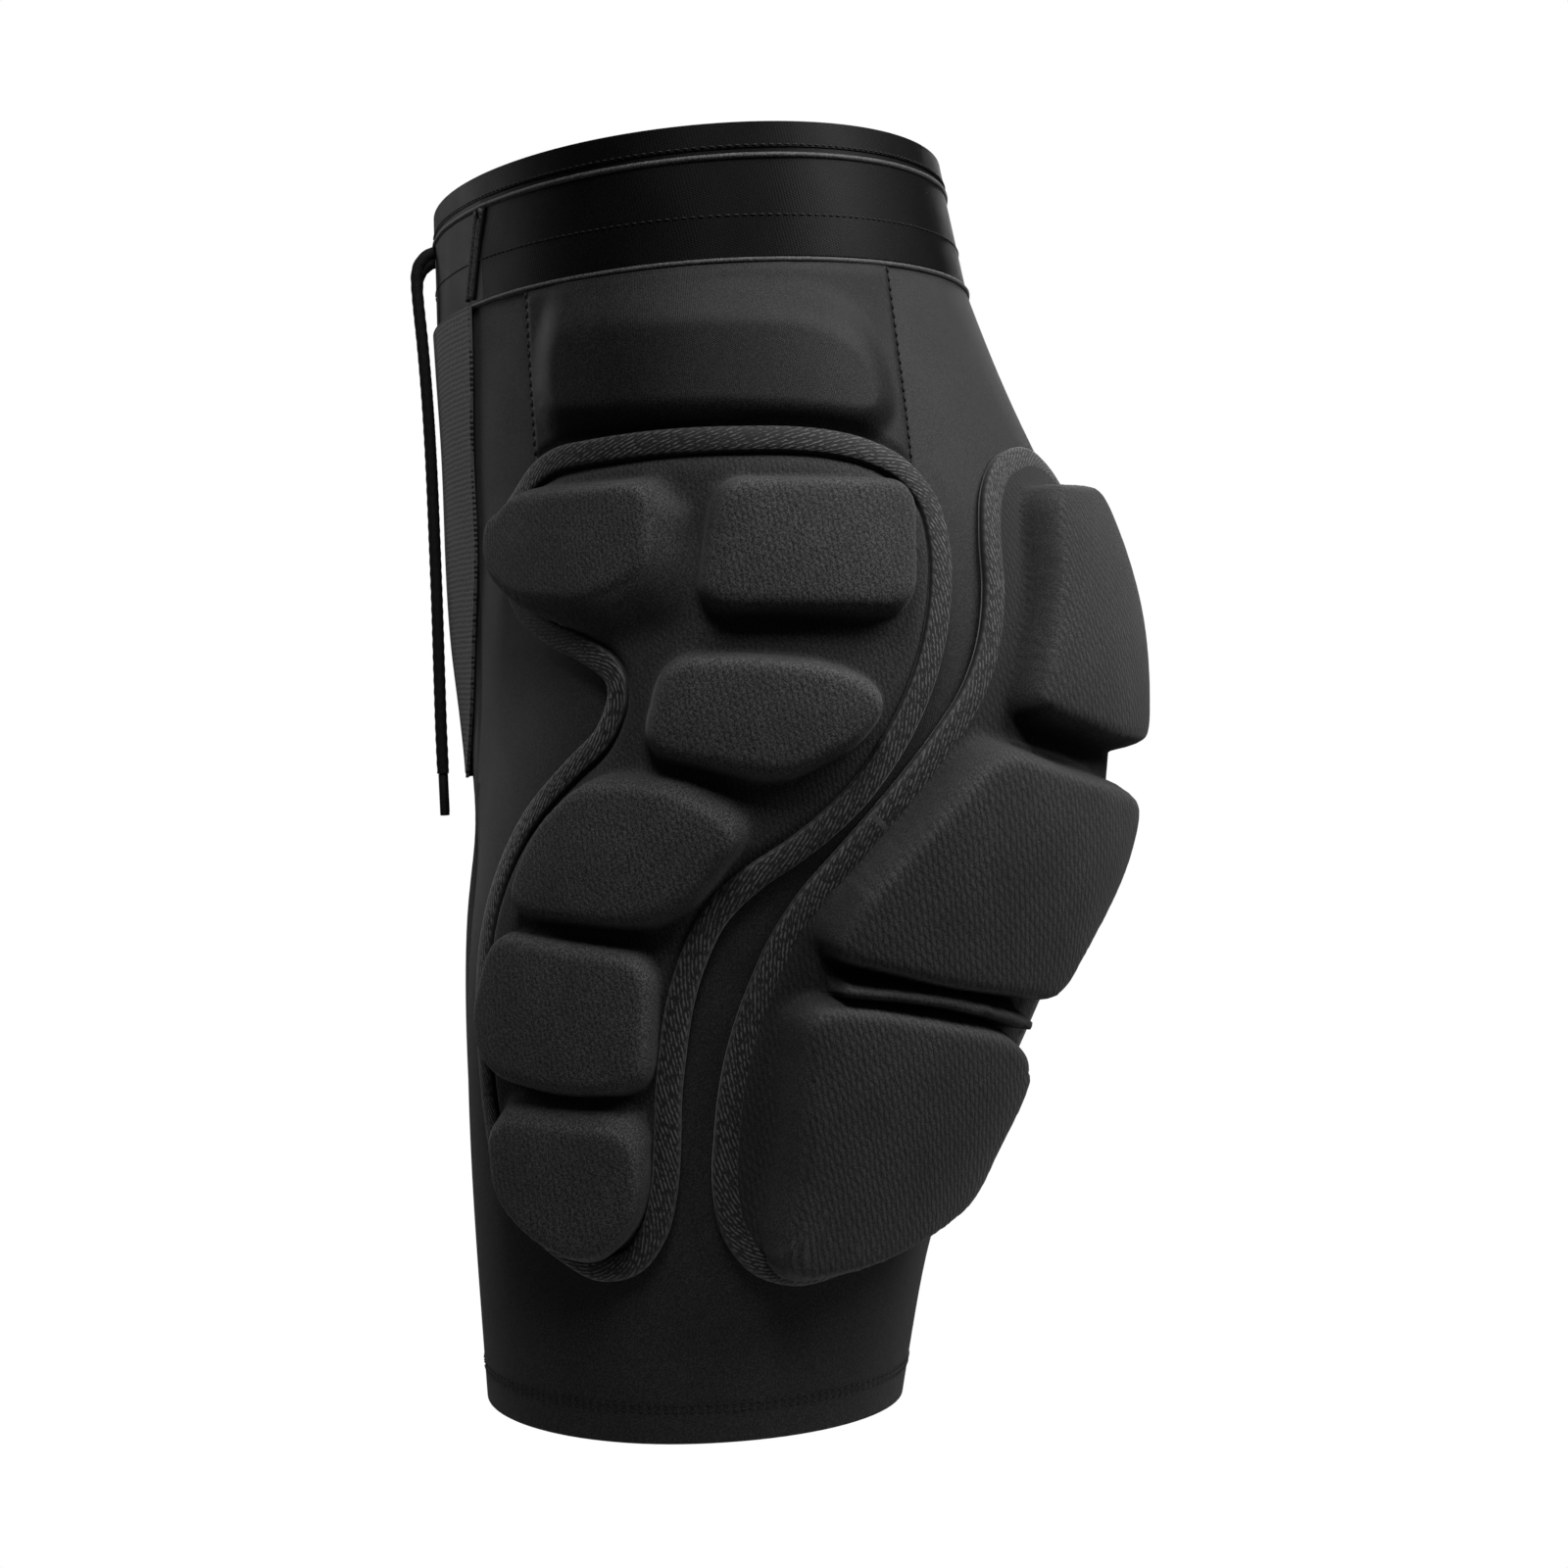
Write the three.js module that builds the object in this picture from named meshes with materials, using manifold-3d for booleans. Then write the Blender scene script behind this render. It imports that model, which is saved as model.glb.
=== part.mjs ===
// Padded sport shorts, shown as they are worn. Lengths are in millimetres and +Z is up.
// The wearer faces -Y, so +X is the wearer's left. The origin is the middle of the waist opening.
import * as THREE from "three";
import { mergeVertices } from "three/addons/utils/BufferGeometryUtils.js";
import Module from "manifold-3d";

const wasm = await Module();
wasm.setup();
const { clamp, degToRad, lerp, radToDeg, smoothstep } = THREE.MathUtils;

// Driving sizes of the garment
const rise = 240; // top edge of the waistband down to the crotch
const inseam = 200; // crotch down to the leg hem
const hipHalfWidth = 178;
const bellyReach = 98; // origin forward to the front of the waist
const seatReach = 157; // origin back to the fullest part of the seat
const legAxis = 86; // middle plane to the middle of a leg
const legGap = 5; // middle plane to the inner thigh, just below the crotch
const crotchSag = 18;
const waistTilt = 8; // how far the back of the waist stands above its middle
const tiltFoot = 0.7; // level at which the tilt has died away
const pouchReach = 6;
const pouchHalfWidth = 42;
const pouchTop = 0.35; // level at which the pouch starts to swell
const pouchFull = 0.85;

// Cloth and padding
const clothWall = 1.8;
const tapeWidth = 9; // binding round a pad
const tapeRise = 4;
const padBase = 3.2; // flat part of a pad between its blocks
const hipBlockRise = 9; // blocks above the flat part
const seatBlockRise = 14;
const upperPadRise = 5;
const blockCorner = 15; // radius of a block's corners

// Waist and cord
const rimHeight = 8.5;
const bandHeight = 45;
const cordWidth = 4.6;
const tipWidth = 3.6;
const tipLength = 16;
const eyeletWidth = 7;

// Clearances
const pieceGap = 0.3; // between pieces that meet edge to edge
const tapeGap = 0.6; // between a pad and the tape round it
const layerGap = 0.9; // between a piece and the cloth that it is sewn on

// The body form. Level is 0 at the top edge, 1 at the crotch and 2 at the hem. Side is a share of
// hipHalfWidth, front of bellyReach, back and mid of seatReach, and axis of legAxis. Fore and rear say how
// far the front and the back of the section have parted into two legs.
const FORM = [
  { level: 0.0, side: 0.855, mid: 0.0, front: 1.0, back: 0.6, axis: 0, fore: 0, rear: 0 },
  { level: 0.19, side: 0.88, mid: 0.01, front: 0.99, back: 0.67, axis: 0.3, fore: 0, rear: 0 },
  { level: 0.38, side: 0.93, mid: 0.05, front: 0.96, back: 0.8, axis: 0.6, fore: 0, rear: 0 },
  { level: 0.58, side: 0.975, mid: 0.09, front: 0.92, back: 0.97, axis: 0.8, fore: 0, rear: 0.08 },
  { level: 0.79, side: 1.0, mid: 0.1, front: 0.905, back: 1.02, axis: 0.9, fore: 0.12, rear: 0.26 },
  { level: 1.0, side: 0.99, mid: 0.07, front: 0.93, back: 0.95, axis: 0.97, fore: 0.45, rear: 0.6 },
  { level: 1.17, side: 0.97, mid: 0.03, front: 0.89, back: 0.81, axis: 1.0, fore: 1, rear: 1 },
  { level: 1.4, side: 0.955, mid: -0.01, front: 0.9, back: 0.695, axis: 1.01, fore: 1, rear: 1 },
  { level: 1.65, side: 0.93, mid: -0.05, front: 0.88, back: 0.53, axis: 1.02, fore: 1, rear: 1 },
  { level: 2.0, side: 0.9, mid: -0.08, front: 0.83, back: 0.445, axis: 1.02, fore: 1, rear: 1 },
];

// Outlines on the wearer's left. The bearing is the angle in degrees round an upright line inside the hip,
// 0 at the front, 90 at the side and 180 at the back, and the level is as above. Below is the depth under
// the waistband.
const hipLineAcross = 0.7; // that line's place, as a share of legAxis
const hipLineBack = 0.1; // and of seatReach

const HIP_PAD = [
  { bearing: 31, level: 0.49 },
  { bearing: 41, level: 0.448 },
  { bearing: 58, level: 0.433 },
  { bearing: 80, level: 0.426 },
  { bearing: 100, level: 0.432 },
  { bearing: 113, level: 0.467 },
  { bearing: 119, level: 0.525 },
  { bearing: 120, level: 0.6 },
  { bearing: 118, level: 0.7 },
  { bearing: 114, level: 0.795 },
  { bearing: 108.5, level: 0.88 },
  { bearing: 101.5, level: 0.955 },
  { bearing: 92, level: 1.025 },
  { bearing: 82, level: 1.1 },
  { bearing: 76, level: 1.22 },
  { bearing: 73, level: 1.4 },
  { bearing: 72, level: 1.56 },
  { bearing: 69, level: 1.66 },
  { bearing: 62, level: 1.725 },
  { bearing: 52, level: 1.7 },
  { bearing: 42, level: 1.635 },
  { bearing: 35, level: 1.54 },
  { bearing: 32, level: 1.42 },
  { bearing: 30, level: 1.29 },
  { bearing: 30, level: 1.17 },
  { bearing: 33, level: 1.05 },
  { bearing: 40, level: 0.955 },
  { bearing: 51, level: 0.88 },
  { bearing: 58, level: 0.83 },
  { bearing: 60, level: 0.79 },
  { bearing: 54, level: 0.752 },
  { bearing: 42, level: 0.72 },
  { bearing: 28, level: 0.665 },
  { bearing: 22, level: 0.59 },
  { bearing: 24, level: 0.53 },
];

const SEAT_PAD = [
  { bearing: 146, level: 0.438 },
  { bearing: 135, level: 0.472 },
  { bearing: 129, level: 0.54 },
  { bearing: 127, level: 0.63 },
  { bearing: 124, level: 0.72 },
  { bearing: 120, level: 0.785 },
  { bearing: 114, level: 0.85 },
  { bearing: 107, level: 0.92 },
  { bearing: 98, level: 1.005 },
  { bearing: 90, level: 1.1 },
  { bearing: 84, level: 1.22 },
  { bearing: 80, level: 1.34 },
  { bearing: 78, level: 1.47 },
  { bearing: 78, level: 1.6 },
  { bearing: 82, level: 1.69 },
  { bearing: 92, level: 1.735 },
  { bearing: 108, level: 1.71 },
  { bearing: 124, level: 1.66 },
  { bearing: 137, level: 1.57 },
  { bearing: 144, level: 1.44 },
  { bearing: 150, level: 1.3 },
  { bearing: 158, level: 1.15 },
  { bearing: 168, level: 1.0 },
  { bearing: 176, level: 0.87 },
  { bearing: 179, level: 0.73 },
  { bearing: 179, level: 0.6 },
  { bearing: 176, level: 0.5 },
  { bearing: 168, level: 0.45 },
  { bearing: 157, level: 0.43 },
];

const HIP_BLOCKS = [
  [
    { bearing: 31, level: 0.57 },
    { bearing: 40, level: 0.506 },
    { bearing: 73, level: 0.506 },
    { bearing: 75, level: 0.66 },
    { bearing: 70, level: 0.685 },
    { bearing: 46, level: 0.66 },
  ],
  [
    { bearing: 78, level: 0.502 },
    { bearing: 109, level: 0.506 },
    { bearing: 110, level: 0.69 },
    { bearing: 76, level: 0.685 },
  ],
  [
    { bearing: 70, level: 0.738 },
    { bearing: 98, level: 0.742 },
    { bearing: 104, level: 0.785 },
    { bearing: 90, level: 0.92 },
    { bearing: 69, level: 0.885 },
  ],
  [
    { bearing: 60, level: 0.922 },
    { bearing: 73, level: 0.922 },
    { bearing: 82, level: 0.968 },
    { bearing: 73, level: 1.1 },
    { bearing: 64, level: 1.12 },
    { bearing: 45, level: 1.1 },
    { bearing: 49, level: 0.985 },
  ],
  [
    { bearing: 40, level: 1.155 },
    { bearing: 68, level: 1.18 },
    { bearing: 67, level: 1.39 },
    { bearing: 40, level: 1.395 },
    { bearing: 38, level: 1.28 },
  ],
  [
    { bearing: 40, level: 1.44 },
    { bearing: 66, level: 1.45 },
    { bearing: 65, level: 1.61 },
    { bearing: 58, level: 1.655 },
    { bearing: 44, level: 1.575 },
  ],
];

const SEAT_BLOCKS = [
  [
    { bearing: 139, level: 0.5 },
    { bearing: 167, level: 0.5 },
    { bearing: 172, level: 0.7 },
    { bearing: 166, level: 0.885 },
    { bearing: 132, level: 0.825 },
    { bearing: 134, level: 0.65 },
  ],
  [
    { bearing: 128, level: 0.87 },
    { bearing: 163, level: 0.95 },
    { bearing: 146, level: 1.21 },
    { bearing: 133, level: 1.255 },
    { bearing: 97, level: 1.17 },
    { bearing: 103, level: 1.06 },
  ],
  [
    { bearing: 93, level: 1.225 },
    { bearing: 140, level: 1.31 },
    { bearing: 137, level: 1.43 },
    { bearing: 124, level: 1.58 },
    { bearing: 89, level: 1.67 },
    { bearing: 85, level: 1.55 },
    { bearing: 87, level: 1.37 },
  ],
];

const UPPER_PAD = [
  { bearing: 44, below: 9 },
  { bearing: 109, below: 9 },
  { bearing: 111, below: 54.6 },
  { bearing: 43, below: 54.6 },
];

// Where a cord runs, from its eyelet down the front, on the wearer's left. Places are millimetres.
const CORD_ROUTE = [
  [12, -97.1, -22.1],
  [12, -100, -23.1],
  [12.1, -102.6, -25.3],
  [12.1, -104.2, -28.1],
  [12.2, -104.8, -31.4],
  [12.2, -104.7, -36],
  [12.2, -104.1, -43],
  [12.1, -102.6, -58],
  [12, -100.9, -80],
  [12, -99.6, -104],
  [12.1, -98.6, -130],
  [12.2, -97.7, -156],
  [12.3, -97, -182],
  [12.3, -96.4, -203],
  [12.3, -95.7, -220],
];

// One column of the form at a level, on a smooth curve through its rows.
function column(name, level) {
  const last = FORM.length - 1;
  const row = (i) => FORM[clamp(i, 0, last)];
  const k = clamp(FORM.findLastIndex((r) => r.level <= level), 0, last - 1);
  const slope = (i) => (row(i + 1)[name] - row(i - 1)[name]) / (row(i + 1).level - row(i - 1).level);
  const span = row(k + 1).level - row(k).level;
  const s = (level - row(k).level) / span;
  const bend = s * (1 - s) * span * ((1 - s) * slope(k) - s * slope(k + 1));
  return lerp(row(k)[name], row(k + 1)[name], s * s * (3 - 2 * s)) + bend;
}

// How far down a level lies, and the level at that depth.
const dropOf = (level) => (level <= 1 ? level * rise : rise + (level - 1) * inseam);
const levelOf = (drop) => (drop <= rise ? drop / rise : 1 + (drop - rise) / inseam);

// Below the crotch a turn of 0 to 180 covers all but the inner part of the leg, and the turns past 180
// cover that.
const legStart = -60;
const legRate = (180 - 2 * legStart) / 180;
const fullTurn = 360 / legRate;
const legsParted = 1.17; // the level at which the two legs are whole

// A point on the outer face of the cloth, on the wearer's left. The turn runs from 0 at the centre front,
// over the hip at 90, to 180 at the centre back.
function skin(turn, level) {
  const side = column("side", level) * hipHalfWidth;
  const middle = column("mid", level) * seatReach;
  const front = column("front", level) * bellyReach + middle;
  const back = column("back", level) * seatReach - middle;
  const axis = column("axis", level) * legAxis;
  const parted = smoothstep(level, 1, legsParted);
  const inner = lerp(axis / Math.sin(degToRad(-legStart)), axis - legGap, parted);
  const split = column(turn < 90 ? "fore" : "rear", level);
  const section = (angle, centre, inward) => {
    const across = Math.sin(degToRad(angle));
    const along = Math.cos(degToRad(angle));
    const width = across > 0 ? side - centre : inward;
    return [centre + across * width, middle - along * (along > 0 ? front : back)];
  };
  const torso = section(turn, 0, 0);
  const leg = section(legStart + turn * legRate, axis, inner);
  const x = lerp(torso[0], leg[0], split);
  let y = lerp(torso[1], leg[1], split);
  const pouch = smoothstep(level, pouchTop, pouchFull) * (1 - parted);
  if (turn < 90) y -= pouchReach * Math.exp(-((x / pouchHalfWidth) ** 2)) * pouch;
  const tilt = (waistTilt * y * (1 - smoothstep(level, 0, tiltFoot))) / bellyReach;
  return new THREE.Vector3(x, y, tilt - dropOf(level));
}

// The outward normal at a spot of a surface given as a function of two numbers.
function normalOf(surface, u, v, du, dv) {
  const across = surface(u + du, v).sub(surface(u - du, v));
  const down = surface(u, v + dv).sub(surface(u, v - dv));
  return down.cross(across).normalize();
}

// The cloth all the way round the waist: 0 at the centre front, 90 at the left hip, 180 at the centre back.
function aroundWaist(angle, level) {
  const turn = ((angle % 360) + 360) % 360;
  const p = skin(turn <= 180 ? turn : 360 - turn, level);
  return turn <= 180 ? p : p.setX(-p.x);
}

// The cloth at a bearing and a true depth. The turn is found by halving, and the level is corrected for
// the tilt.
const turnError = 0.005;

function atBearing(bearing, level) {
  const bearingOf = (p) => {
    const angle = radToDeg(Math.atan2(p.x - hipLineAcross * legAxis, hipLineBack * seatReach - p.y));
    return angle < -90 ? angle + 360 : angle;
  };
  let ownLevel = level;
  let found;
  for (let pass = 0; pass < 2; pass++) {
    let [low, high] = [0, 180];
    while (high - low > turnError) {
      const middle = (low + high) / 2;
      if (bearingOf(skin(middle, ownLevel)) < bearing) low = middle;
      else high = middle;
    }
    found = skin(low, ownLevel);
    ownLevel = levelOf(dropOf(level) + found.z + dropOf(ownLevel));
  }
  return found;
}

// A place on the cloth with its outward normal, and how many millimetres a degree and a level are worth
// there.
const bearingStep = 0.6;
const levelStep = 0.006;

function spotAt([bearing, level]) {
  const [db, dl] = [bearingStep, levelStep];
  const across = atBearing(bearing + db, level).sub(atBearing(bearing - db, level));
  const down = atBearing(bearing, level + dl).sub(atBearing(bearing, level - dl));
  const reach = [across.length() / (2 * db), down.length() / (2 * dl)];
  return { point: atBearing(bearing, level), normal: down.cross(across).normalize(), reach };
}

const lifted = (spot, height) => spot.point.clone().addScaledVector(spot.normal, height);

// A closed solid from vertices and triangles, turned to face outwards.
function solidOf(points, triangles) {
  const place = new Float32Array(points.flatMap((p) => [p.x, p.y, p.z]));
  const soup = new THREE.BufferGeometry().setAttribute("position", new THREE.BufferAttribute(place, 3));
  const merged = mergeVertices(soup.setIndex(triangles.flat()), 1e-4);
  const vertProperties = merged.attributes.position.array;
  const made = (triVerts) => new wasm.Manifold(new wasm.Mesh({ numProp: 3, vertProperties, triVerts }));
  const solid = made(new Uint32Array(merged.index.array));
  return solid.volume() > 0 ? solid : made(new Uint32Array(merged.index.array).reverse());
}

// The solid between two layers of the same sheet. The triangles index both layers alike.
function between(low, high, triangles) {
  const n = low.length;
  const edges = new Map();
  for (const t of triangles) t.forEach((a, i) => edges.set(`${a},${t[(i + 1) % 3]}`, [a, t[(i + 1) % 3]]));
  const walls = [];
  for (const [a, b] of edges.values())
    if (!edges.has(`${b},${a}`)) walls.push([a, b, n + b], [a, n + b, n + a]);
  const top = triangles.map((t) => t.map((i) => i + n));
  const bottom = triangles.map(([a, b, c]) => [a, c, b]);
  return solidOf([...low, ...high], [...top, ...bottom, ...walls]);
}

// Triangles for a grid of rows by columns of vertices, numbered row by row.
function gridTriangles(rows, columns, closed) {
  const triangles = [];
  for (let r = 0; r + 1 < rows; r++)
    for (let c = 0; c + 1 < columns + (closed ? 1 : 0); c++) {
      const [a, b] = [r * columns + c, r * columns + ((c + 1) % columns)];
      triangles.push([a, a + columns, b], [b, a + columns, b + columns]);
    }
  return triangles;
}

// The solid inside a stack of rings with equal counts. The first and the last are single points.
function loft(rings) {
  const count = rings[1].length;
  const points = rings.flat();
  const triangles = [];
  for (let k = 0; k < count; k++) {
    const next = (k + 1) % count;
    triangles.push([0, 1 + next, 1 + k]);
    for (let r = 1; r + 2 < rings.length; r++) {
      const [a, b] = [1 + (r - 1) * count, 1 + r * count];
      triangles.push([a + k, a + next, b + k], [a + next, b + next, b + k]);
    }
    const last = 1 + (rings.length - 3) * count;
    triangles.push([last + k, last + next, points.length - 1]);
  }
  return solidOf(points, triangles);
}

// A named mesh from a solid. Mirrored swaps the wearer's left for the right.
function piece(name, solid, material, mirrored = false) {
  const { numProp, vertProperties, triVerts } = solid.getMesh();
  const place = new Float32Array((vertProperties.length / numProp) * 3);
  for (let i = 0; i < place.length / 3; i++) {
    place.set(vertProperties.subarray(i * numProp, i * numProp + 3), i * 3);
    if (mirrored) place[i * 3] *= -1;
  }
  const index = mirrored ? triVerts.slice().reverse() : triVerts;
  const geometry = new THREE.BufferGeometry().setAttribute("position", new THREE.BufferAttribute(place, 3));
  geometry.setIndex(new THREE.BufferAttribute(index, 1));
  geometry.computeVertexNormals();
  const mesh = new THREE.Mesh(geometry, material);
  mesh.name = name;
  return mesh;
}

// The cloth of the shorts, with two legs that part at the crotch.
const shellColumns = 20; // over a half turn
const torsoRows = 8;
const legRows = 7;

function shellSolid() {
  const step = 180 / shellColumns;
  const innerColumns = Math.round((fullTurn - 180) / step) - 1;
  const top = (bandHeight + pieceGap) / rise;
  const levels = [];
  for (let r = 0; r <= torsoRows; r++) levels.push(lerp(top, 1, r / torsoRows));
  for (let r = 1; r <= legRows; r++) levels.push(lerp(1, 2, r / legRows));
  const [front, back] = [skin(0, 1), skin(180, 1)];
  const points = [];
  const index = new Map();
  const vertex = (side, r, c) => {
    const middle = r <= torsoRows && (c === 0 || c >= shellColumns);
    const key = `${middle ? 0 : side} ${r} ${c}`;
    if (!index.has(key)) {
      const p = skin(c * step, levels[r]);
      if (r === torsoRows && c > shellColumns) {
        const s = 1 - (c - shellColumns) / (innerColumns + 1);
        p.lerpVectors(front, back, s);
        p.z -= crotchSag * 4 * s * (1 - s);
      }
      p.x *= middle ? 0 : side;
      index.set(key, points.push(p) - 1);
    }
    return index.get(key);
  };
  const triangles = [];
  for (const side of [1, -1])
    for (let r = 0; r + 1 < levels.length; r++) {
      const leg = r >= torsoRows;
      const count = shellColumns + (leg ? innerColumns + 1 : 0);
      for (let c = 0; c < count; c++) {
        const next = leg ? (c + 1) % count : c + 1;
        const [a, b] = [vertex(side, r, c), vertex(side, r, next)];
        const [d, e] = [vertex(side, r + 1, c), vertex(side, r + 1, next)];
        if (side > 0) triangles.push([a, d, b], [b, d, e]);
        else triangles.push([a, b, d], [b, e, d]);
      }
    }
  const sheet = new THREE.BufferGeometry().setFromPoints(points).setIndex(triangles.flat());
  sheet.computeVertexNormals();
  const inside = points.map((p, i) => {
    const normal = new THREE.Vector3().fromBufferAttribute(sheet.attributes.normal, i);
    if (p.x === 0) normal.setX(0).normalize();
    return p.clone().addScaledVector(normal, -clothWall);
  });
  return between(inside, points, triangles);
}

// A strip of the waist between two levels. Start and end give its first and last angle at a level, and a
// closed strip runs all the way round. The faces lie at the inner and the outer height from the cloth.
function waistStrip({ from, to, start, end, rows, columns, inner, outer, closed }) {
  const count = columns + (closed ? 0 : 1);
  const [low, high] = [[], []];
  for (let r = 0; r <= rows; r++)
    for (let c = 0; c < count; c++) {
      const level = lerp(from, to, r / rows);
      const angle = lerp(start(level), end(level), c / columns);
      const normal = normalOf(aroundWaist, angle, level, bearingStep, levelStep);
      const spot = { point: aroundWaist(angle, level), normal };
      low.push(lifted(spot, inner));
      high.push(lifted(spot, outer));
    }
  return between(low, high, gridTriangles(rows + 1, count, closed));
}

// Waist rim and waistband. The band's front part holds the two eyelets.
const rimOver = 0.8; // how far the rim's tape stands out from the cloth
const bandOver = 0.4;
const frontHalf = 34; // half the angle of the front part
const frontGap = radToDeg(pieceGap / bellyReach) / 2;
const waistColumns = 40;
const frontColumns = 10;
const bandTop = (rimHeight + pieceGap) / rise;
const eyeletDepth = 10;
const bandWall = {
  from: bandTop,
  to: bandHeight / rise,
  rows: 1,
  inner: -clothWall,
  outer: bandOver,
  closed: false,
};

const rimSolid = () =>
  waistStrip({
    from: 0,
    to: rimHeight / rise,
    start: () => 0,
    end: () => 360,
    rows: 1,
    columns: waistColumns,
    inner: -clothWall - rimOver,
    outer: rimOver,
    closed: true,
  });

const bandSolid = () =>
  waistStrip({
    ...bandWall,
    start: () => frontHalf + frontGap,
    end: () => 360 - frontHalf - frontGap,
    columns: waistColumns - frontColumns,
  });

function bandFrontSolid() {
  const span = { start: () => -frontHalf, end: () => frontHalf };
  let solid = waistStrip({ ...bandWall, ...span, columns: frontColumns });
  for (const side of [1, -1]) {
    const [x, , z] = CORD_ROUTE[0];
    const ends = [-1, 1].map((end) => new THREE.Vector3(side * x, -bellyReach + end * eyeletDepth, z));
    solid = solid.subtract(tube(new THREE.LineCurve3(...ends), eyeletWidth, 1));
  }
  return solid;
}

// Mesh panel down the front, sewn on the cloth and narrowing towards the crotch.
const meshTop = (bandHeight + 1) / rise;
const meshFoot = 0.92;
const meshWall = 1.2;
const meshColumns = 8;
const meshRows = 8;
const MESH_HALF = [
  { level: 0.2, angle: 30 },
  { level: 0.5, angle: 24.5 },
  { level: 0.8, angle: 19 },
  { level: 1, angle: 10 },
];

// Half the angle that the mesh panel takes up at a level.
function meshHalf(level) {
  const k = clamp(MESH_HALF.findLastIndex((r) => r.level <= level), 0, MESH_HALF.length - 2);
  const [above, below] = [MESH_HALF[k], MESH_HALF[k + 1]];
  return lerp(above.angle, below.angle, smoothstep(level, above.level, below.level));
}

const frontMeshSolid = () =>
  waistStrip({
    from: meshTop,
    to: meshFoot,
    start: (level) => -meshHalf(level),
    end: meshHalf,
    rows: meshRows,
    columns: meshColumns,
    inner: layerGap,
    outer: layerGap + meshWall,
    closed: false,
  });

// Twice the area that an outline covers, positive when the level grows on the left hand of its way.
function outlineArea(outline) {
  return outline.reduce((sum, [b, l], i) => {
    const [nb, nl] = outline[(i + 1) % outline.length];
    return sum + b * nl - nb * l;
  }, 0);
}

function middleOf(outline) {
  return [0, 1].map((axis) => outline.reduce((sum, p) => sum + p[axis], 0) / outline.length);
}

const scaled = (points, [b, l], share) => points.map((p) => [lerp(b, p[0], share), lerp(l, p[1], share)]);

// An outline moved inwards by a width in millimetres.
function inset(outline, width) {
  const way = Math.sign(outlineArea(outline));
  const n = outline.length;
  return outline.map((p, i) => {
    const { reach } = spotAt(p);
    const [before, after] = [outline[(i + n - 1) % n], outline[(i + 1) % n]];
    const along = new THREE.Vector2((after[0] - before[0]) * reach[0], (after[1] - before[1]) * reach[1]);
    along.normalize().multiplyScalar(width * way);
    return [p[0] - along.y / reach[0], p[1] + along.x / reach[1]];
  });
}

// Outlines are drawn flat, with the bearing turned into millimetres by one rate.
const bearingWorth = 2;
const flatPoint = ({ bearing, level }) => new THREE.Vector2(bearing * bearingWorth, dropOf(level));
const fromFlat = (p) => [p.x / bearingWorth, levelOf(p.y)];

// A smooth closed outline through the rows of a table.
const hipPoints = 56;
const seatPoints = 44;

function smoothOutline(rows, count) {
  const knots = rows.map(flatPoint).map((p) => new THREE.Vector3(p.x, p.y, 0));
  const curve = new THREE.CatmullRomCurve3(knots, true);
  return curve.getSpacedPoints(count).slice(0, count).map(fromFlat);
}

// A closed outline with straight sides and round corners.
const cornerSteps = 1;
const cornerMost = 0.42; // the largest share of a side that one corner takes
const longestEdge = 26; // millimetres

function roundedOutline(rows) {
  const flat = rows.map(flatPoint);
  return flat.flatMap((corner, i) => {
    const [before, after] = [flat[(i + flat.length - 1) % flat.length], flat[(i + 1) % flat.length]];
    const towards = (end) => {
      const length = corner.distanceTo(end);
      return corner.clone().lerp(end, Math.min(blockCorner / length, cornerMost));
    };
    const curve = new THREE.QuadraticBezierCurve(towards(before), corner, towards(after));
    const bend = curve.getPoints(cornerSteps);
    const straight = corner.distanceTo(after) - 2 * towards(after).distanceTo(corner);
    const cuts = Math.max(Math.ceil(straight / longestEdge), 1);
    const [start, end] = [towards(after), after.clone().add(corner).sub(towards(after))];
    for (let k = 1; k < cuts; k++) bend.push(start.clone().lerp(end, k / cuts));
    return bend.map(fromFlat);
  });
}

// The pieces into which a straight cut along one axis parts an outline. At each place where the cut
// crosses the outline, the way round a piece jumps to the next crossing along the cut.
function cutOutline(outline, axis, limit) {
  const beyond = (p) => p[axis] >= limit;
  const loop = outline.flatMap((p, i) => {
    const q = outline[(i + 1) % outline.length];
    if (beyond(p) === beyond(q)) return [{ p }];
    const s = (limit - p[axis]) / (q[axis] - p[axis]);
    const crossing = [lerp(p[0], q[0], s), lerp(p[1], q[1], s)];
    crossing[axis] = limit;
    return [{ p }, { p: crossing, crosses: true }];
  });
  const crossings = loop.filter((v) => v.crosses).sort((v, w) => v.p[1 - axis] - w.p[1 - axis]);
  crossings.forEach((v, i) => (v.partner = crossings[i % 2 ? i - 1 : i + 1]));
  loop.forEach((v, i) => (v.next = loop[(i + 1) % loop.length]));
  const pieces = [];
  for (const start of loop) {
    if (start.crosses || start.used) continue;
    const piece = [];
    let v = start;
    do {
      v.used = true;
      piece.push(v.p);
      v = v.next;
      if (!v.crosses) continue;
      piece.push(v.p, v.partner.p);
      v = v.partner.next;
    } while (v !== start);
    pieces.push(piece);
  }
  return pieces;
}

// The pieces into which evenly spaced cuts along one axis part a list of outlines.
function cutEvenly(outlines, axis, first, last, step, toAxis = (at) => at) {
  let pieces = outlines;
  for (let at = first + step; at < last; at += step)
    pieces = pieces.flatMap((outline) => cutOutline(outline, axis, toAxis(at)));
  return pieces;
}

// A panel inside an outline, cut into cells so that it follows the body, between two heights above the
// cloth. Share is the width of its upper face over that of its lower one.
const cellAcross = 10; // degrees
const cellDown = 18; // millimetres

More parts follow.
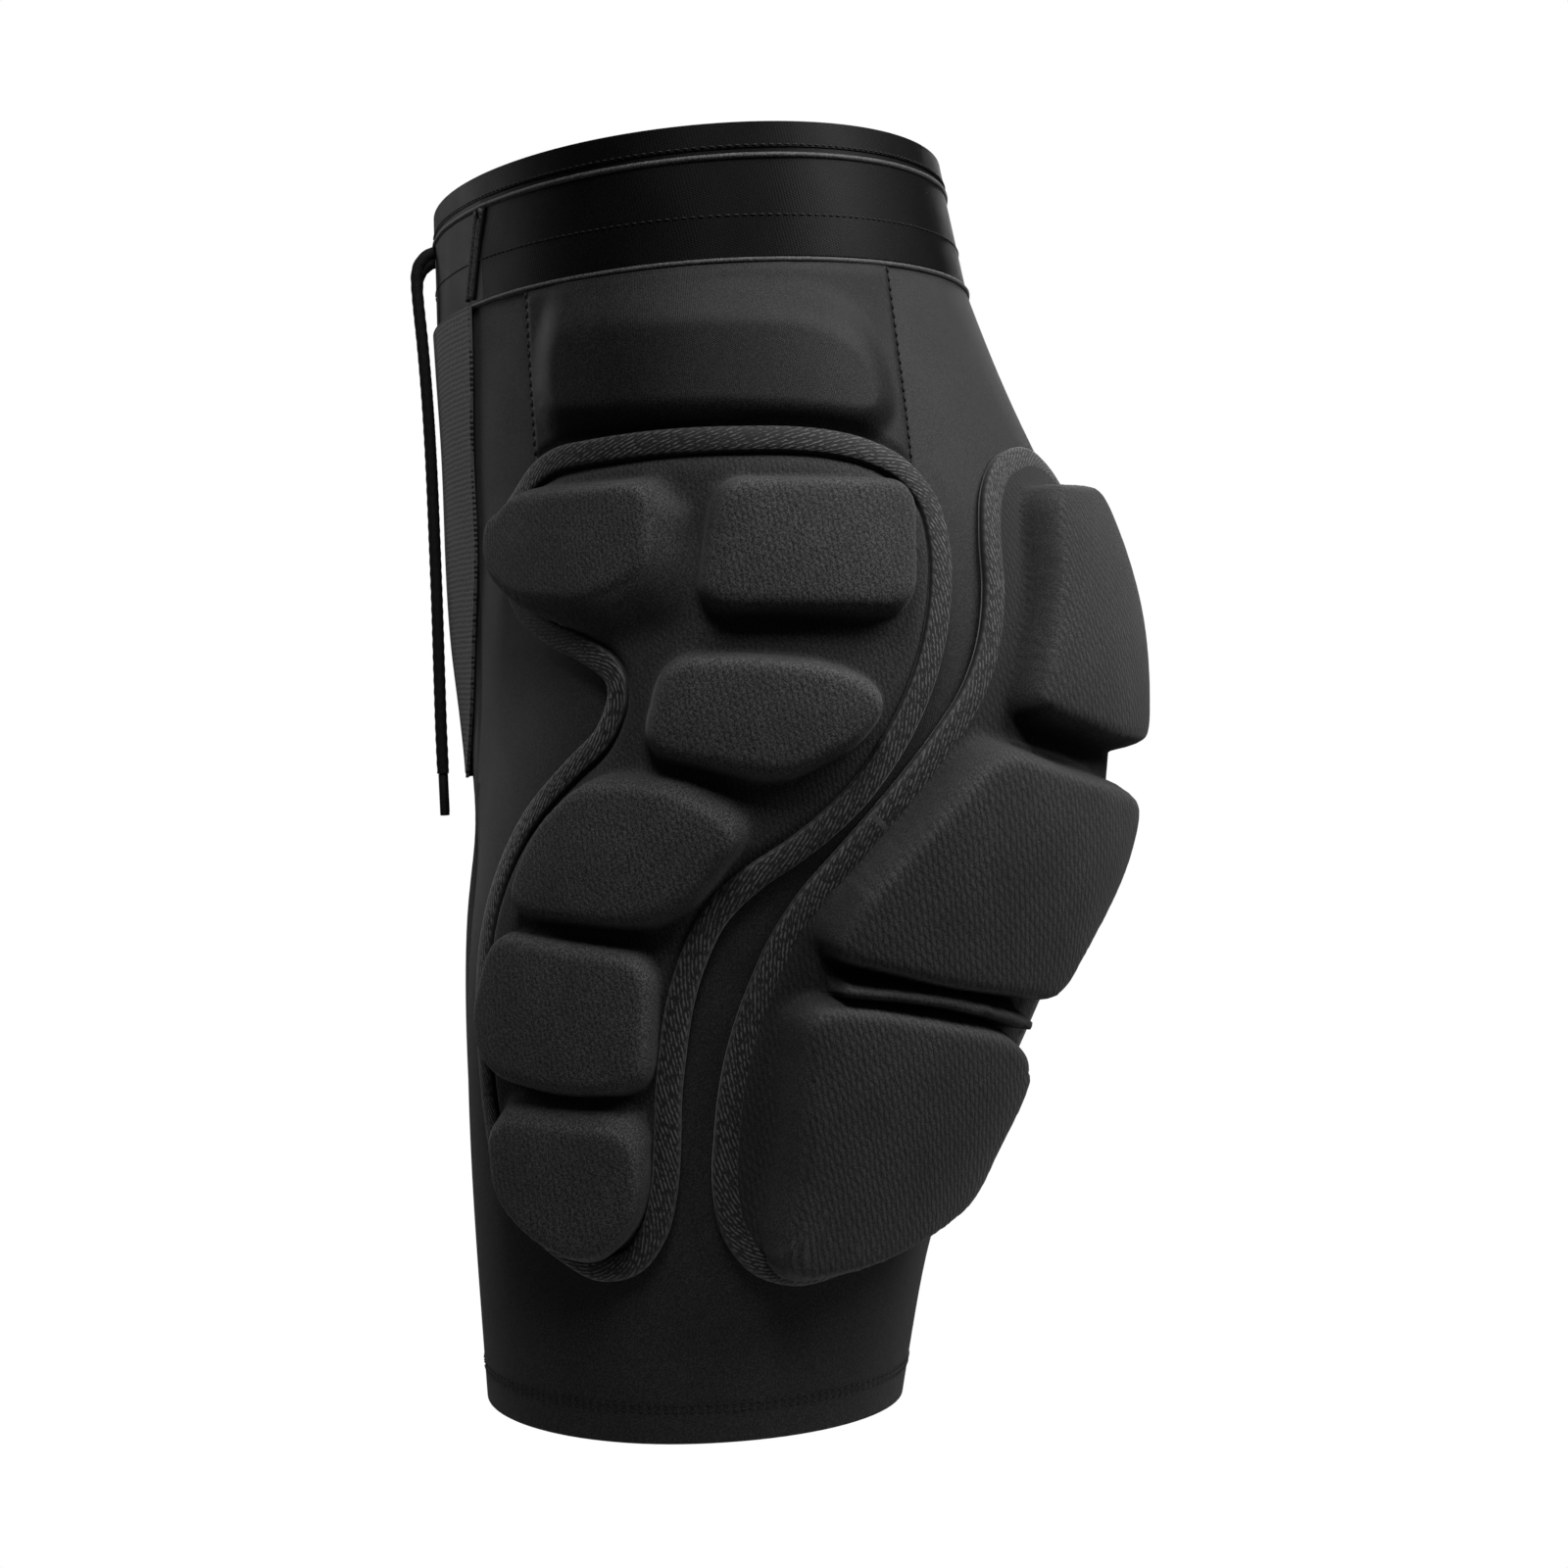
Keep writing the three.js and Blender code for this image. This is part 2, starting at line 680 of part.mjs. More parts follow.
function panelSolid(outline, low, high, share = 1) {
  const keys = new Map();
  const spots = [];
  const triangles = [];
  const vertex = (p) => {
    const key = `${p[0].toFixed(3)} ${p[1].toFixed(5)}`;
    if (!keys.has(key)) keys.set(key, spots.push(p) - 1);
    return keys.get(key);
  };
  const [bearings, drops] = [outline.map((p) => p[0]), outline.map((p) => dropOf(p[1]))];
  const rows = cutEvenly([outline], 1, Math.min(...drops), Math.max(...drops), cellDown, levelOf);
  const cells = cutEvenly(rows, 0, Math.min(...bearings), Math.max(...bearings), cellAcross);
  for (const cell of cells) {
    const flat = cell.map(([bearing, level]) => flatPoint({ bearing, level }));
    for (const face of THREE.ShapeUtils.triangulateShape(flat, [])) {
      const ids = face.map((i) => vertex(cell[i]));
      const turned = outlineArea(face.map((i) => cell[i])) > 0 ? ids : ids.reverse();
      if (new Set(ids).size === 3) triangles.push(turned);
    }
  }
  const centre = middleOf(outline);
  const layer = (height, size) => scaled(spots, centre, size).map((p) => lifted(spotAt(p), height));
  return between(layer(low, 1), layer(high, share), triangles);
}

// A raised block with a round shoulder. Floor is the height of its foot, sunk by a little into the pad's
// flat part.
const blockFoot = 1;
const SHOULDER = [
  { inset: 0, height: 0 },
  { inset: 0.12, height: 0.7 },
  { inset: 0.45, height: 1 },
];

const INNER_RINGS = [0.5]; // shares of the way from a block's middle to its edge

function blockSolid(rows, floor, blockRise) {
  const outline = roundedOutline(rows);
  const centre = middleOf(outline);
  const shrunk = (share) => scaled(outline, centre, share);
  const ring = (line, height) => line.map((p) => lifted(spotAt(p), height));
  const foot = floor - blockFoot;
  return loft([
    ring([centre], foot),
    ...INNER_RINGS.toReversed().map((share) => ring(shrunk(share), foot)),
    ring(outline, foot),
    ...SHOULDER.map((s) => ring(inset(outline, s.inset * blockRise), floor + s.height * blockRise)),
    ...INNER_RINGS.map((share) => ring(shrunk(share), floor + blockRise)),
    ring([centre], floor + blockRise),
  ]);
}

// A pad is a flat panel with raised blocks on it, and its binding is a tape round the edge.
function padSolid(outline, blocks, blockRise) {
  const floor = layerGap + padBase;
  const panel = panelSolid(inset(outline, tapeWidth + tapeGap), layerGap, floor);
  return blocks.reduce((pad, rows) => pad.add(blockSolid(rows, floor, blockRise)), panel);
}

const upperPadTaper = 0.93; // its upper face, as a share of its lower one

function upperPadSolid() {
  const rows = UPPER_PAD.map(({ bearing, below }) => ({ bearing, level: levelOf(bandHeight + below) }));
  return panelSolid(roundedOutline(rows), layerGap, layerGap + upperPadRise, upperPadTaper);
}

function bindingSolid(outline) {
  const rings = [outline, inset(outline, tapeWidth)].map((line) => line.map(spotAt));
  const layer = (height) => rings.flatMap((ring) => ring.map((s) => lifted(s, height)));
  return between(layer(layerGap), layer(layerGap + tapeRise), gridTriangles(2, outline.length, true));
}

// Draw cords, one from each eyelet, and their tips. A tube's rings are square to the curve and start from
// +X.
const tubeSides = 8;

function tube(curve, width, steps) {
  const rings = [];
  for (let k = 0; k <= steps; k++) {
    const way = curve.getTangent(k / steps);
    const across = new THREE.Vector3(1, 0, 0).projectOnPlane(way).setLength(width / 2);
    const corner = (_, i) => across.clone().applyAxisAngle(way, (2 * Math.PI * i) / tubeSides);
    rings.push(Array.from({ length: tubeSides }, corner).map((p) => p.add(curve.getPoint(k / steps))));
  }
  return loft([[curve.getPoint(0)], ...rings, [curve.getPoint(1)]]);
}

const cordCurve = (side) =>
  new THREE.CatmullRomCurve3(CORD_ROUTE.map(([x, y, z]) => new THREE.Vector3(side * x, y, z)));

function tipCurve(side) {
  const end = cordCurve(side).getPoint(1);
  const way = cordCurve(side).getTangent(1);
  const start = end.clone().addScaledVector(way, pieceGap);
  return new THREE.LineCurve3(start, start.clone().addScaledVector(way, tipLength));
}

// Finishes
const finish = (color, roughness) => new THREE.MeshStandardMaterial({ color, roughness, metalness: 0 });
const cloth = finish(0x1b1b1c, 0.85);
const elastic = finish(0x161617, 0.8);
const netting = finish(0x121213, 0.9);
const padding = finish(0x232324, 0.85);
const tape = finish(0x2a2a2b, 0.9);
const cord = finish(0x101011, 0.8);
const plastic = finish(0x0c0c0d, 0.4);

const hipOutline = smoothOutline(HIP_PAD, hipPoints);
const seatOutline = smoothOutline(SEAT_PAD, seatPoints);
const pairs = [
  ["upper_pad", upperPadSolid(), cloth],
  ["hip_pad", padSolid(hipOutline, HIP_BLOCKS, hipBlockRise), padding],
  ["hip_binding", bindingSolid(hipOutline), tape],
  ["seat_pad", padSolid(seatOutline, SEAT_BLOCKS, seatBlockRise), padding],
  ["seat_binding", bindingSolid(seatOutline), tape],
];

const shorts = new THREE.Group();
shorts.add(piece("shell", shellSolid(), cloth));
shorts.add(piece("waist_rim", rimSolid(), elastic));
shorts.add(piece("waistband", bandSolid(), elastic));
shorts.add(piece("waistband_front", bandFrontSolid(), elastic));
shorts.add(piece("front_mesh", frontMeshSolid(), netting));
for (const [name, solid, material] of pairs) {
  shorts.add(piece(`${name}_left`, solid, material));
  shorts.add(piece(`${name}_right`, solid, material, true));
}
for (const [side, word] of [
  [1, "left"],
  [-1, "right"],
]) {
  const string = tube(cordCurve(side), cordWidth, CORD_ROUTE.length - 1);
  shorts.add(piece(`drawstring_${word}`, string, cord));
  shorts.add(piece(`drawstring_tip_${word}`, tube(tipCurve(side), tipWidth, 1), plastic));
}

export default shorts;
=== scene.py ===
"""Padded sport shorts, worn form, seen from the wearer's left. Lengths are in metres and +Z is up."""
import math

import bmesh
import bpy
import numpy as np
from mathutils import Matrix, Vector
from mathutils.bvhtree import BVHTree
from mathutils.geometry import delaunay_2d_cdt


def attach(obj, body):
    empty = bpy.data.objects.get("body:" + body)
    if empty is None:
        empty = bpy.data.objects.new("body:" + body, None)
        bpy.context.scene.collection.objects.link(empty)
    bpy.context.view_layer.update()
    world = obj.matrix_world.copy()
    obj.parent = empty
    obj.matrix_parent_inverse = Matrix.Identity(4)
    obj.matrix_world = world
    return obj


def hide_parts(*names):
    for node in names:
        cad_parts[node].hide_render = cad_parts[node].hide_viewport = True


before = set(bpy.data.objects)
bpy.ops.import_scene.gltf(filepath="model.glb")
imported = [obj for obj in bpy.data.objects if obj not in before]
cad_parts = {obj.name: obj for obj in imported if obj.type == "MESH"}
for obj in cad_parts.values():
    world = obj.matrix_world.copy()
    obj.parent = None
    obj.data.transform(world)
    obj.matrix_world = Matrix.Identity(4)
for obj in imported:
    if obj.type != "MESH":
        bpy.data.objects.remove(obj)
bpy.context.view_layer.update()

# Camera. It stands on the wearer's left, a touch towards the front, with a long lens, and looks at the
# middle of the garment from just above it.
CAMERA_AZIMUTH = math.radians(83)
CAMERA_HEIGHT = math.radians(2)
CAMERA_DISTANCE = 1.054
CAMERA_TARGET = Vector((0, 0.037, -0.225))
CAMERA_LENS = 61.65

bpy.ops.object.select_all(action="DESELECT")
away = Vector((
    math.sin(CAMERA_AZIMUTH) * math.cos(CAMERA_HEIGHT),
    -math.cos(CAMERA_AZIMUTH) * math.cos(CAMERA_HEIGHT),
    math.sin(CAMERA_HEIGHT),
))
bpy.ops.object.camera_add(
    location=CAMERA_TARGET + away * CAMERA_DISTANCE,
    rotation=away.to_track_quat("Z", "Y").to_euler(),
)
camera = bpy.context.object
camera.data.lens = CAMERA_LENS
camera.data.sensor_width = 36
bpy.context.scene.camera = camera

# Drawstring. A round black braid of 4.6 mm comes out of an eyelet on each side of the middle front and hangs
# down over the mesh panel. Its free length is what the photograph shows.
CORD_WIDTH = 0.0046
CORD_ROUTE = [
    (0.0120, -0.0971, -0.0221),
    (0.0120, -0.1000, -0.0231),
    (0.0121, -0.1026, -0.0253),
    (0.0121, -0.1042, -0.0281),
    (0.0122, -0.1048, -0.0314),
    (0.0122, -0.1047, -0.0360),
    (0.0122, -0.1041, -0.0430),
    (0.0121, -0.1026, -0.0580),
    (0.0120, -0.1009, -0.0800),
    (0.0120, -0.0996, -0.1040),
    (0.0121, -0.0986, -0.1300),
    (0.0122, -0.0977, -0.1560),
    (0.0123, -0.0970, -0.1820),
    (0.0123, -0.0964, -0.2030),
    (0.0123, -0.0957, -0.2200),
]
CORD_SIDES = 24
CORD_STEP = 0.0005
BRAID_STRANDS = 4
BRAID_PITCH = 0.009
BRAID_RELIEF = 0.07


class Shade:
    """One value in a material's nodes. Arithmetic on it adds Math nodes, and node() adds any other kind."""

    def __init__(self, tree, socket=None):
        self.tree = tree
        self.socket = socket

    def node(self, kind, settings=None, sockets=None, out=0):
        made = self.tree.nodes.new(kind)
        for name, value in (settings or {}).items():
            setattr(made, name, value)
        for key, value in (sockets or {}).items():
            if isinstance(value, Shade):
                self.tree.links.new(value.socket, made.inputs[key])
            else:
                made.inputs[key].default_value = value
        return Shade(self.tree, made.outputs[out])

    def maths(self, operation, *values):
        return self.node("ShaderNodeMath", {"operation": operation}, dict(enumerate(values)))

    def __add__(self, other):
        return self.maths("ADD", self, other)

    def __sub__(self, other):
        return self.maths("SUBTRACT", self, other)

    def __rsub__(self, other):
        return self.maths("SUBTRACT", other, self)

    def __mul__(self, other):
        return self.maths("MULTIPLY", self, other)

    def __abs__(self):
        return self.maths("ABSOLUTE", self)

    __radd__ = __add__
    __rmul__ = __mul__

    def sine(self):
        return self.maths("SINE", self)

    def clamped(self, low, high):
        sockets = {"Value": self, "From Min": low, "From Max": high}
        return self.node("ShaderNodeMapRange", {"interpolation_type": "SMOOTHSTEP"}, sockets)


def new_material(name):
    """A material with only a Principled shader, and a Shade to add nodes with."""
    material = bpy.data.materials.new(name)
    material.use_nodes = True
    return material, Shade(material.node_tree)


def set_finish(material, **values):
    """Sets or links the shader's own sockets. An underscore in a name stands for a space."""
    shader = material.node_tree.nodes["Principled BSDF"]
    for name, value in values.items():
        socket = shader.inputs[name.replace("_", " ")]
        if isinstance(value, Shade):
            material.node_tree.links.new(value.socket, socket)
        else:
            socket.default_value = value


def grey_between(shade, mask, dark, light):
    """A near-black colour, faintly blue, that runs from dark to light with a mask."""
    ends = {6: (dark, dark, dark * 1.03, 1), 7: (light, light, light * 1.03, 1)}
    return shade.node("ShaderNodeMix", {"data_type": "RGBA"}, {0: mask, **ends}, out=2)


def bumped(shade, height, depth):
    """The normal of a surface whose relief is height, from 0 to 1, times depth in metres."""
    return shade.node("ShaderNodeBump", None, {"Height": height, "Distance": depth, "Strength": 1.0})


def mesh_object(name, points, faces):
    """A new smooth-shaded piece."""
    mesh = bpy.data.meshes.new(name)
    mesh.from_pydata([tuple(p) for p in points], [], [tuple(int(i) for i in f) for f in faces])
    mesh.update()
    made = bpy.data.objects.new(name, mesh)
    bpy.context.collection.objects.link(made)
    mesh.polygons.foreach_set("use_smooth", [True] * len(mesh.polygons))
    return made


def give_uv(piece, coordinates):
    """Writes a UV map from one (u, v) for each vertex, in metres of cloth."""
    layer = piece.data.uv_layers.new(name="cloth")
    corners = np.empty(len(piece.data.loops), np.int32)
    piece.data.loops.foreach_get("vertex_index", corners)
    layer.data.foreach_set("uv", np.asarray(coordinates, np.float32)[corners].ravel())


def other_side(piece, name):
    """The same piece on the wearer's right, mirrored in the middle plane and turned to face out again."""
    mesh = piece.data.copy()
    made = bpy.data.objects.new(name, mesh)
    bpy.context.collection.objects.link(made)
    mesh.transform(((-1, 0, 0, 0), (0, 1, 0, 0), (0, 0, 1, 0), (0, 0, 0, 1)))
    mesh.flip_normals()
    return made


def along(points, step, closed=False):
    """Points about a step apart on a smooth curve through points."""
    p = np.asarray(points, float)
    n = len(p)
    spans = n if closed else n - 1
    fine = []
    for i in range(spans):
        a, b, c, d = (p[k % n] if closed else p[min(max(k, 0), n - 1)] for k in (i - 1, i, i + 1, i + 2))
        for s in np.linspace(0, 1, 16, endpoint=False):
            fine.append(b + 0.5 * s * (c - a + s * (2 * a - 5 * b + 4 * c - d + s * (3 * (b - c) + d - a))))
    fine = np.array(fine + [p[0] if closed else p[-1]])
    run = lengths_along(fine)
    count = max(round(run[-1] / step), 2)
    at = np.linspace(0, run[-1], count + 1)[: count if closed else None]
    return np.stack([np.interp(at, run, fine[:, k]) for k in range(fine.shape[1])], axis=1)


def unit(vectors):
    return vectors / np.linalg.norm(vectors, axis=-1, keepdims=True)


def lengths_along(line):
    """How far along a line each of its points lies."""
    return np.concatenate([[0], np.cumsum(np.linalg.norm(np.diff(line, axis=0), axis=1))])


def ring_faces(rows, wide, closed=False):
    """The faces of a tube whose rows have wide points each. It joins up with itself, or has a cap at each end."""
    faces = []
    for row in range(rows if closed else rows - 1):
        here, there = row * wide, (row + 1) % rows * wide
        faces += [(here + k, here + (k + 1) % wide, there + (k + 1) % wide, there + k) for k in range(wide)]
    if not closed:
        faces += [tuple(range(wide)), tuple((rows - 1) * wide + k for k in range(wide))]
    return faces


def faced_out(piece):
    """Recalculates a closed piece's normals to face outwards."""
    bpy.ops.object.select_all(action="DESELECT")
    piece.select_set(True)
    bpy.context.view_layer.objects.active = piece
    bpy.ops.object.mode_set(mode="EDIT")
    bpy.ops.mesh.select_all(action="SELECT")
    bpy.ops.mesh.normals_make_consistent(inside=False)
    bpy.ops.object.mode_set(mode="OBJECT")


centreline = along(CORD_ROUTE, CORD_STEP)
cord_length = float(lengths_along(centreline)[-1])
way = unit(np.gradient(centreline, axis=0))
sideways = unit(np.cross(way, np.cross((1.0, 0, 0), way)))
outwards = np.cross(way, sideways)
turns = np.linspace(0, 2 * math.pi, CORD_SIDES, endpoint=False)
run = np.linspace(0, cord_length, len(centreline))
twist = run[:, None] * 2 * math.pi / BRAID_PITCH
strands = np.maximum(
    np.cos(BRAID_STRANDS / 2 * turns + twist) ** 2, np.cos(BRAID_STRANDS / 2 * turns - twist) ** 2
)
radius = CORD_WIDTH / 2 * (1 - BRAID_RELIEF + BRAID_RELIEF * strands)
rings = centreline[:, None] + radius[..., None] * (
    np.cos(turns)[:, None] * sideways[:, None] + np.sin(turns)[:, None] * outwards[:, None]
)
drawstring = mesh_object("drawstring_left_braid", rings.reshape(-1, 3), ring_faces(len(rings), CORD_SIDES))
give_uv(drawstring, np.stack([np.tile(turns * CORD_WIDTH / 2, len(rings)), np.repeat(run, CORD_SIDES)], axis=1))
faced_out(drawstring)

braid, shade = new_material("black braid")
place = shade.node("ShaderNodeTexCoord", out=3)
fibre = shade.node("ShaderNodeTexNoise", None, {"Vector": place, "Scale": 2600.0, "Detail": 3.0})
set_finish(
    braid,
    Base_Color=grey_between(shade, fibre, 0.002, 0.008),
    Roughness=0.75,
    Specular_IOR_Level=0.15,
    Normal=bumped(shade, fibre, 0.0001),
)
drawstring.data.materials.append(braid)

# Cord tips. Each cord ends in a short hard plastic sleeve, crimped on and a little narrower than the braid. It is
# a plain black cylinder with softened edges.
TIP_WIDTH = 0.0036
TIP_LENGTH = 0.016
TIP_GAP = 0.00005
TIP_EDGE = 0.0004

bpy.ops.object.select_all(action="DESELECT")
end = Vector(centreline[-1])
end_way = Vector(way[-1])
bpy.ops.mesh.primitive_cylinder_add(
    vertices=24, radius=TIP_WIDTH / 2, depth=TIP_LENGTH,
    location=end + end_way * (TIP_GAP + TIP_LENGTH / 2),
    rotation=end_way.to_track_quat("Z", "Y").to_euler(),
)
tip = bpy.context.object
tip.name = "drawstring_tip_left_sleeve"
bpy.ops.object.mode_set(mode="EDIT")
bpy.ops.mesh.select_all(action="SELECT")
bpy.ops.mesh.subdivide(number_cuts=1)
bpy.ops.object.mode_set(mode="OBJECT")
bevel = tip.modifiers.new("edge", "BEVEL")
bevel.width = TIP_EDGE
bevel.segments = 3
bevel.limit_method = "ANGLE"
bpy.ops.object.modifier_apply(modifier=bevel.name)
bpy.ops.object.shade_smooth_by_angle(angle=math.radians(35))
bpy.ops.object.transform_apply(location=True, rotation=True, scale=True)

sleeve, shade = new_material("black plastic")
place = shade.node("ShaderNodeTexCoord", out=3)
scuff = shade.node("ShaderNodeTexNoise", None, {"Vector": place, "Scale": 900.0, "Detail": 4.0})
set_finish(
    sleeve,
    Base_Color=grey_between(shade, scuff, 0.003, 0.006),
    Roughness=shade.node("ShaderNodeMapRange", None, {"Value": scuff, "To Min": 0.28, "To Max": 0.45}),
    Normal=bumped(shade, scuff, 0.00002),
)
tip.data.materials.append(sleeve)

for side in ("left", "right"):
    string, end_piece = drawstring, tip
    line = centreline[::4]
    if side == "right":
        string = other_side(drawstring, "drawstring_right_braid")
        end_piece = other_side(tip, "drawstring_tip_right_sleeve")
        line = line * (-1, 1, 1)
    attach(string, "root")
    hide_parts(f"drawstring_{side}")
    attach(end_piece, "root")
    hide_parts(f"drawstring_tip_{side}")

# Shell. The shorts are cut from a smooth black stretch knit that lies close to the body, with the seat and two
# legs in one. The worn form comes from the solid, rounded by subdivision.
LEG_LINE = Vector((0.088, -0.012))  # an upright line inside a leg
TORSO_LINE = Vector((0.06, 0.0157))  # and inside a hip
CROTCH = -0.24


def solid_copy(node, name, smooth=2, crease=None):
    """A new piece on a copy of a solid's mesh: merged, turned back to quads and subdivided.
    Edges that turn by more than crease stay sharp."""
    made = bpy.data.objects.new(name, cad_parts[node].data.copy())
    bpy.context.collection.objects.link(made)
    made.data.materials.clear()
    bpy.ops.object.select_all(action="DESELECT")
    made.select_set(True)
    bpy.context.view_layer.objects.active = made
    bpy.ops.object.mode_set(mode="EDIT")
    bpy.ops.mesh.select_all(action="SELECT")
    bpy.ops.mesh.customdata_custom_splitnormals_clear()
    bpy.ops.mesh.remove_doubles(threshold=1e-5)
    bpy.ops.mesh.tris_convert_to_quads(face_threshold=math.radians(50), shape_threshold=math.radians(50))
    if crease is not None:
        bpy.ops.mesh.select_all(action="DESELECT")
        bpy.ops.mesh.select_mode(type="EDGE")
        bpy.ops.mesh.edges_select_sharp(sharpness=crease)
        bpy.ops.transform.edge_crease(value=1)
    bpy.ops.object.mode_set(mode="OBJECT")
    rounding = made.modifiers.new("rounding", "SUBSURF")
    rounding.levels = rounding.render_levels = smooth
    bpy.ops.object.modifier_apply(modifier=rounding.name)
    bpy.ops.object.shade_smooth_by_angle(angle=math.radians(50))
    return made


shell = solid_copy("shell", "shell_cloth", crease=math.radians(60))

# The outer face of the cloth alone, for what is placed on it.
corners = [v.co.copy() for v in shell.data.vertices]
outer_faces = []
for face in shell.data.polygons:
    line = LEG_LINE if face.center.z < CROTCH else TORSO_LINE
    line = Vector((math.copysign(line.x, face.center.x), line.y))
    if (face.center.xy - line).dot(face.normal.xy) > 0:
        outer_faces.append(tuple(face.vertices))
outer_cloth = BVHTree.FromPolygons(corners, outer_faces)

# Places on the left half are given by a bearing round an upright line inside the hip, 0 at the front and 90 at
# the side, and by a height.
HIP_LINE = np.array((0.0602, 0.0157))
BEARINGS = np.arange(8, 193, 1.0)
HEIGHTS = np.arange(-0.430, -0.035, 0.002)
FLAT_RATE = 0.0022  # metres of cloth that a degree is worth on the flat pattern

reach = np.empty((len(BEARINGS), len(HEIGHTS)))
for i, bearing in enumerate(np.radians(BEARINGS)):
    heading = Vector((math.sin(bearing), -math.cos(bearing), 0))
    for j, height in enumerate(HEIGHTS):
        reach[i, j] = outer_cloth.ray_cast(Vector((*HIP_LINE, height)), heading)[3] or reach[i, j - 1]
headings = np.stack([np.sin(np.radians(BEARINGS)), -np.cos(np.radians(BEARINGS))], axis=1)
skin = np.concatenate([
    HIP_LINE + reach[..., None] * headings[:, None],
    np.broadcast_to(HEIGHTS, reach.shape)[..., None],
], axis=2)
skin_normals = unit(np.cross(np.gradient(skin, axis=0), np.gradient(skin, axis=1)))


def on_body(bearings, heights, lift=0.0):
    """Points over the cloth, and the way out there, at bearings in degrees and heights in metres."""
    i = np.clip((bearings - BEARINGS[0]) / (BEARINGS[1] - BEARINGS[0]), 0, len(BEARINGS) - 1.001)
    j = np.clip((heights - HEIGHTS[0]) / (HEIGHTS[1] - HEIGHTS[0]), 0, len(HEIGHTS) - 1.001)
    i0, j0 = i.astype(int), j.astype(int)
    s, t = (i - i0)[:, None], (j - j0)[:, None]
    blended = [
        (grid[i0, j0] * (1 - s) + grid[i0 + 1, j0] * s) * (1 - t)
        + (grid[i0, j0 + 1] * (1 - s) + grid[i0 + 1, j0 + 1] * s) * t
        for grid in (skin, skin_normals)
    ]
    normals = unit(blended[1])
    return blended[0] + normals * np.reshape(lift, (-1, 1)), normals


def pattern_of(points):
    """The bearings and heights of points."""
    across = points[:, :2] - HIP_LINE
    return np.degrees(np.arctan2(across[:, 0], -across[:, 1])) % 360, points[:, 2]


places = np.array([v.co for v in shell.data.vertices])
unfolded, _ = pattern_of(places * np.where(places[:, :1] < 0, (-1, 1, 1), (1, 1, 1)))
give_uv(shell, np.stack([unfolded * FLAT_RATE, places[:, 2]], axis=1))


def cloth_uv(shade):
    """The two coordinates of a piece's own UV map, in metres: across the cloth and up it."""
    uv = shade.node("ShaderNodeUVMap", {"uv_map": "cloth"})
    return tuple(shade.node("ShaderNodeSeparateXYZ", None, {0: uv}, out) for out in (0, 1))


def knit(
    name, dark, light, wale, relief, ribbing, dash=0.9, roughness=0.8, specular=0.2, sheen=0.05, stretch_and_shade=False,
):
    """A fine knit: upright wales a set width apart, broken into loops, in a yarn of mixed black and grey. Dash is
    the length of a loop in wales. A pad cover's colour is scaled by the piece's stretch attribute. That is partly
    stretched cloth, and partly painted shade in the dips between blocks with a painted highlight along the crests.
    Its wales fade out where the slope attribute is."""
    material, shade = new_material(name)
    u, v = cloth_uv(shade)
    place = shade.node("ShaderNodeTexCoord", out=3)
    yarn = shade.node(
        "ShaderNodeTexNoise", None, {"Vector": place, "Scale": 1800.0, "Detail": 2.0, "Roughness": 0.6},
    )
    patches = shade.node("ShaderNodeTexNoise", None, {"Vector": place, "Scale": 45.0, "Detail": 3.0})
    waver = shade.node("ShaderNodeTexNoise", None, {"Vector": place, "Scale": 150.0})
    ribs = abs((u * (math.pi / wale) + v * (0.2 * math.pi / wale) + waver * 3.0).sine())
    loops = abs((v * (math.pi / (wale * dash)) + u * (math.pi / (2 * wale)) + waver * 3.0).sine())
    flecks = yarn.clamped(0.42, 0.62)
    wales = ribs * (loops * 0.7 + 0.3)
    if stretch_and_shade:
        slope, stretch = (
            shade.node("ShaderNodeAttribute", {"attribute_name": title}, out=2) for title in ("slope", "stretch")
        )
        wales = wales * (1 - slope) + slope * 0.5
    mask = flecks * (1 - ribbing) + wales * ribbing
    mask = mask * (patches * 0.9 + 0.55)
    # Painted shade and highlight: the stretch attribute halves the colour in the dips between blocks and lifts it
    # along the crests.
    if stretch_and_shade:
        mask = mask * stretch
    set_finish(
        material,
        Base_Color=grey_between(shade, mask, dark, light),
        Roughness=patches.clamped(0.2, 0.8) * 0.1 + roughness,
        Specular_IOR_Level=specular,
        Sheen_Weight=sheen,
        Sheen_Roughness=0.4,
        Normal=bumped(shade, wales * 0.7 + yarn * 0.6, relief),
    )
    return material


smooth_knit = knit(
    "smooth stretch knit", 0.003, 0.021, 0.0007, 0.00008, ribbing=0.15, roughness=0.6, specular=0.22,
)
shell.data.materials.append(smooth_knit)
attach(shell, "root")
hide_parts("shell")

WAY_ROUND = 0.006  # metres of cloth round a rolled edge


def swept(name, line, normals, profile, closed):
    """A closed profile carried along a line, with its knit run along it. The profile's points are (across, up)."""
    forward = np.roll(line, -1, axis=0) - np.roll(line, 1, axis=0) if closed else np.gradient(line, axis=0)
    across = unit(np.cross(unit(forward), normals))
    up = unit(np.cross(across, unit(forward)))
    points = line[:, None] + profile[None, :, :1] * across[:, None] + profile[None, :, 1:] * up[:, None]
    rows, wide = len(line), len(profile)
    made = mesh_object(name, points.reshape(-1, 3), ring_faces(rows, wide, closed))
    round_it = np.arange(wide) / wide * WAY_ROUND
    give_uv(made, np.stack([np.repeat(lengths_along(line), wide), np.tile(round_it, rows)], axis=1))
    faced_out(made)
    return made


def ring_profile(radius, sides=8):
    turns = np.linspace(0, 2 * math.pi, sides, endpoint=False)
    return radius * np.stack([np.cos(turns), np.sin(turns)], axis=1)


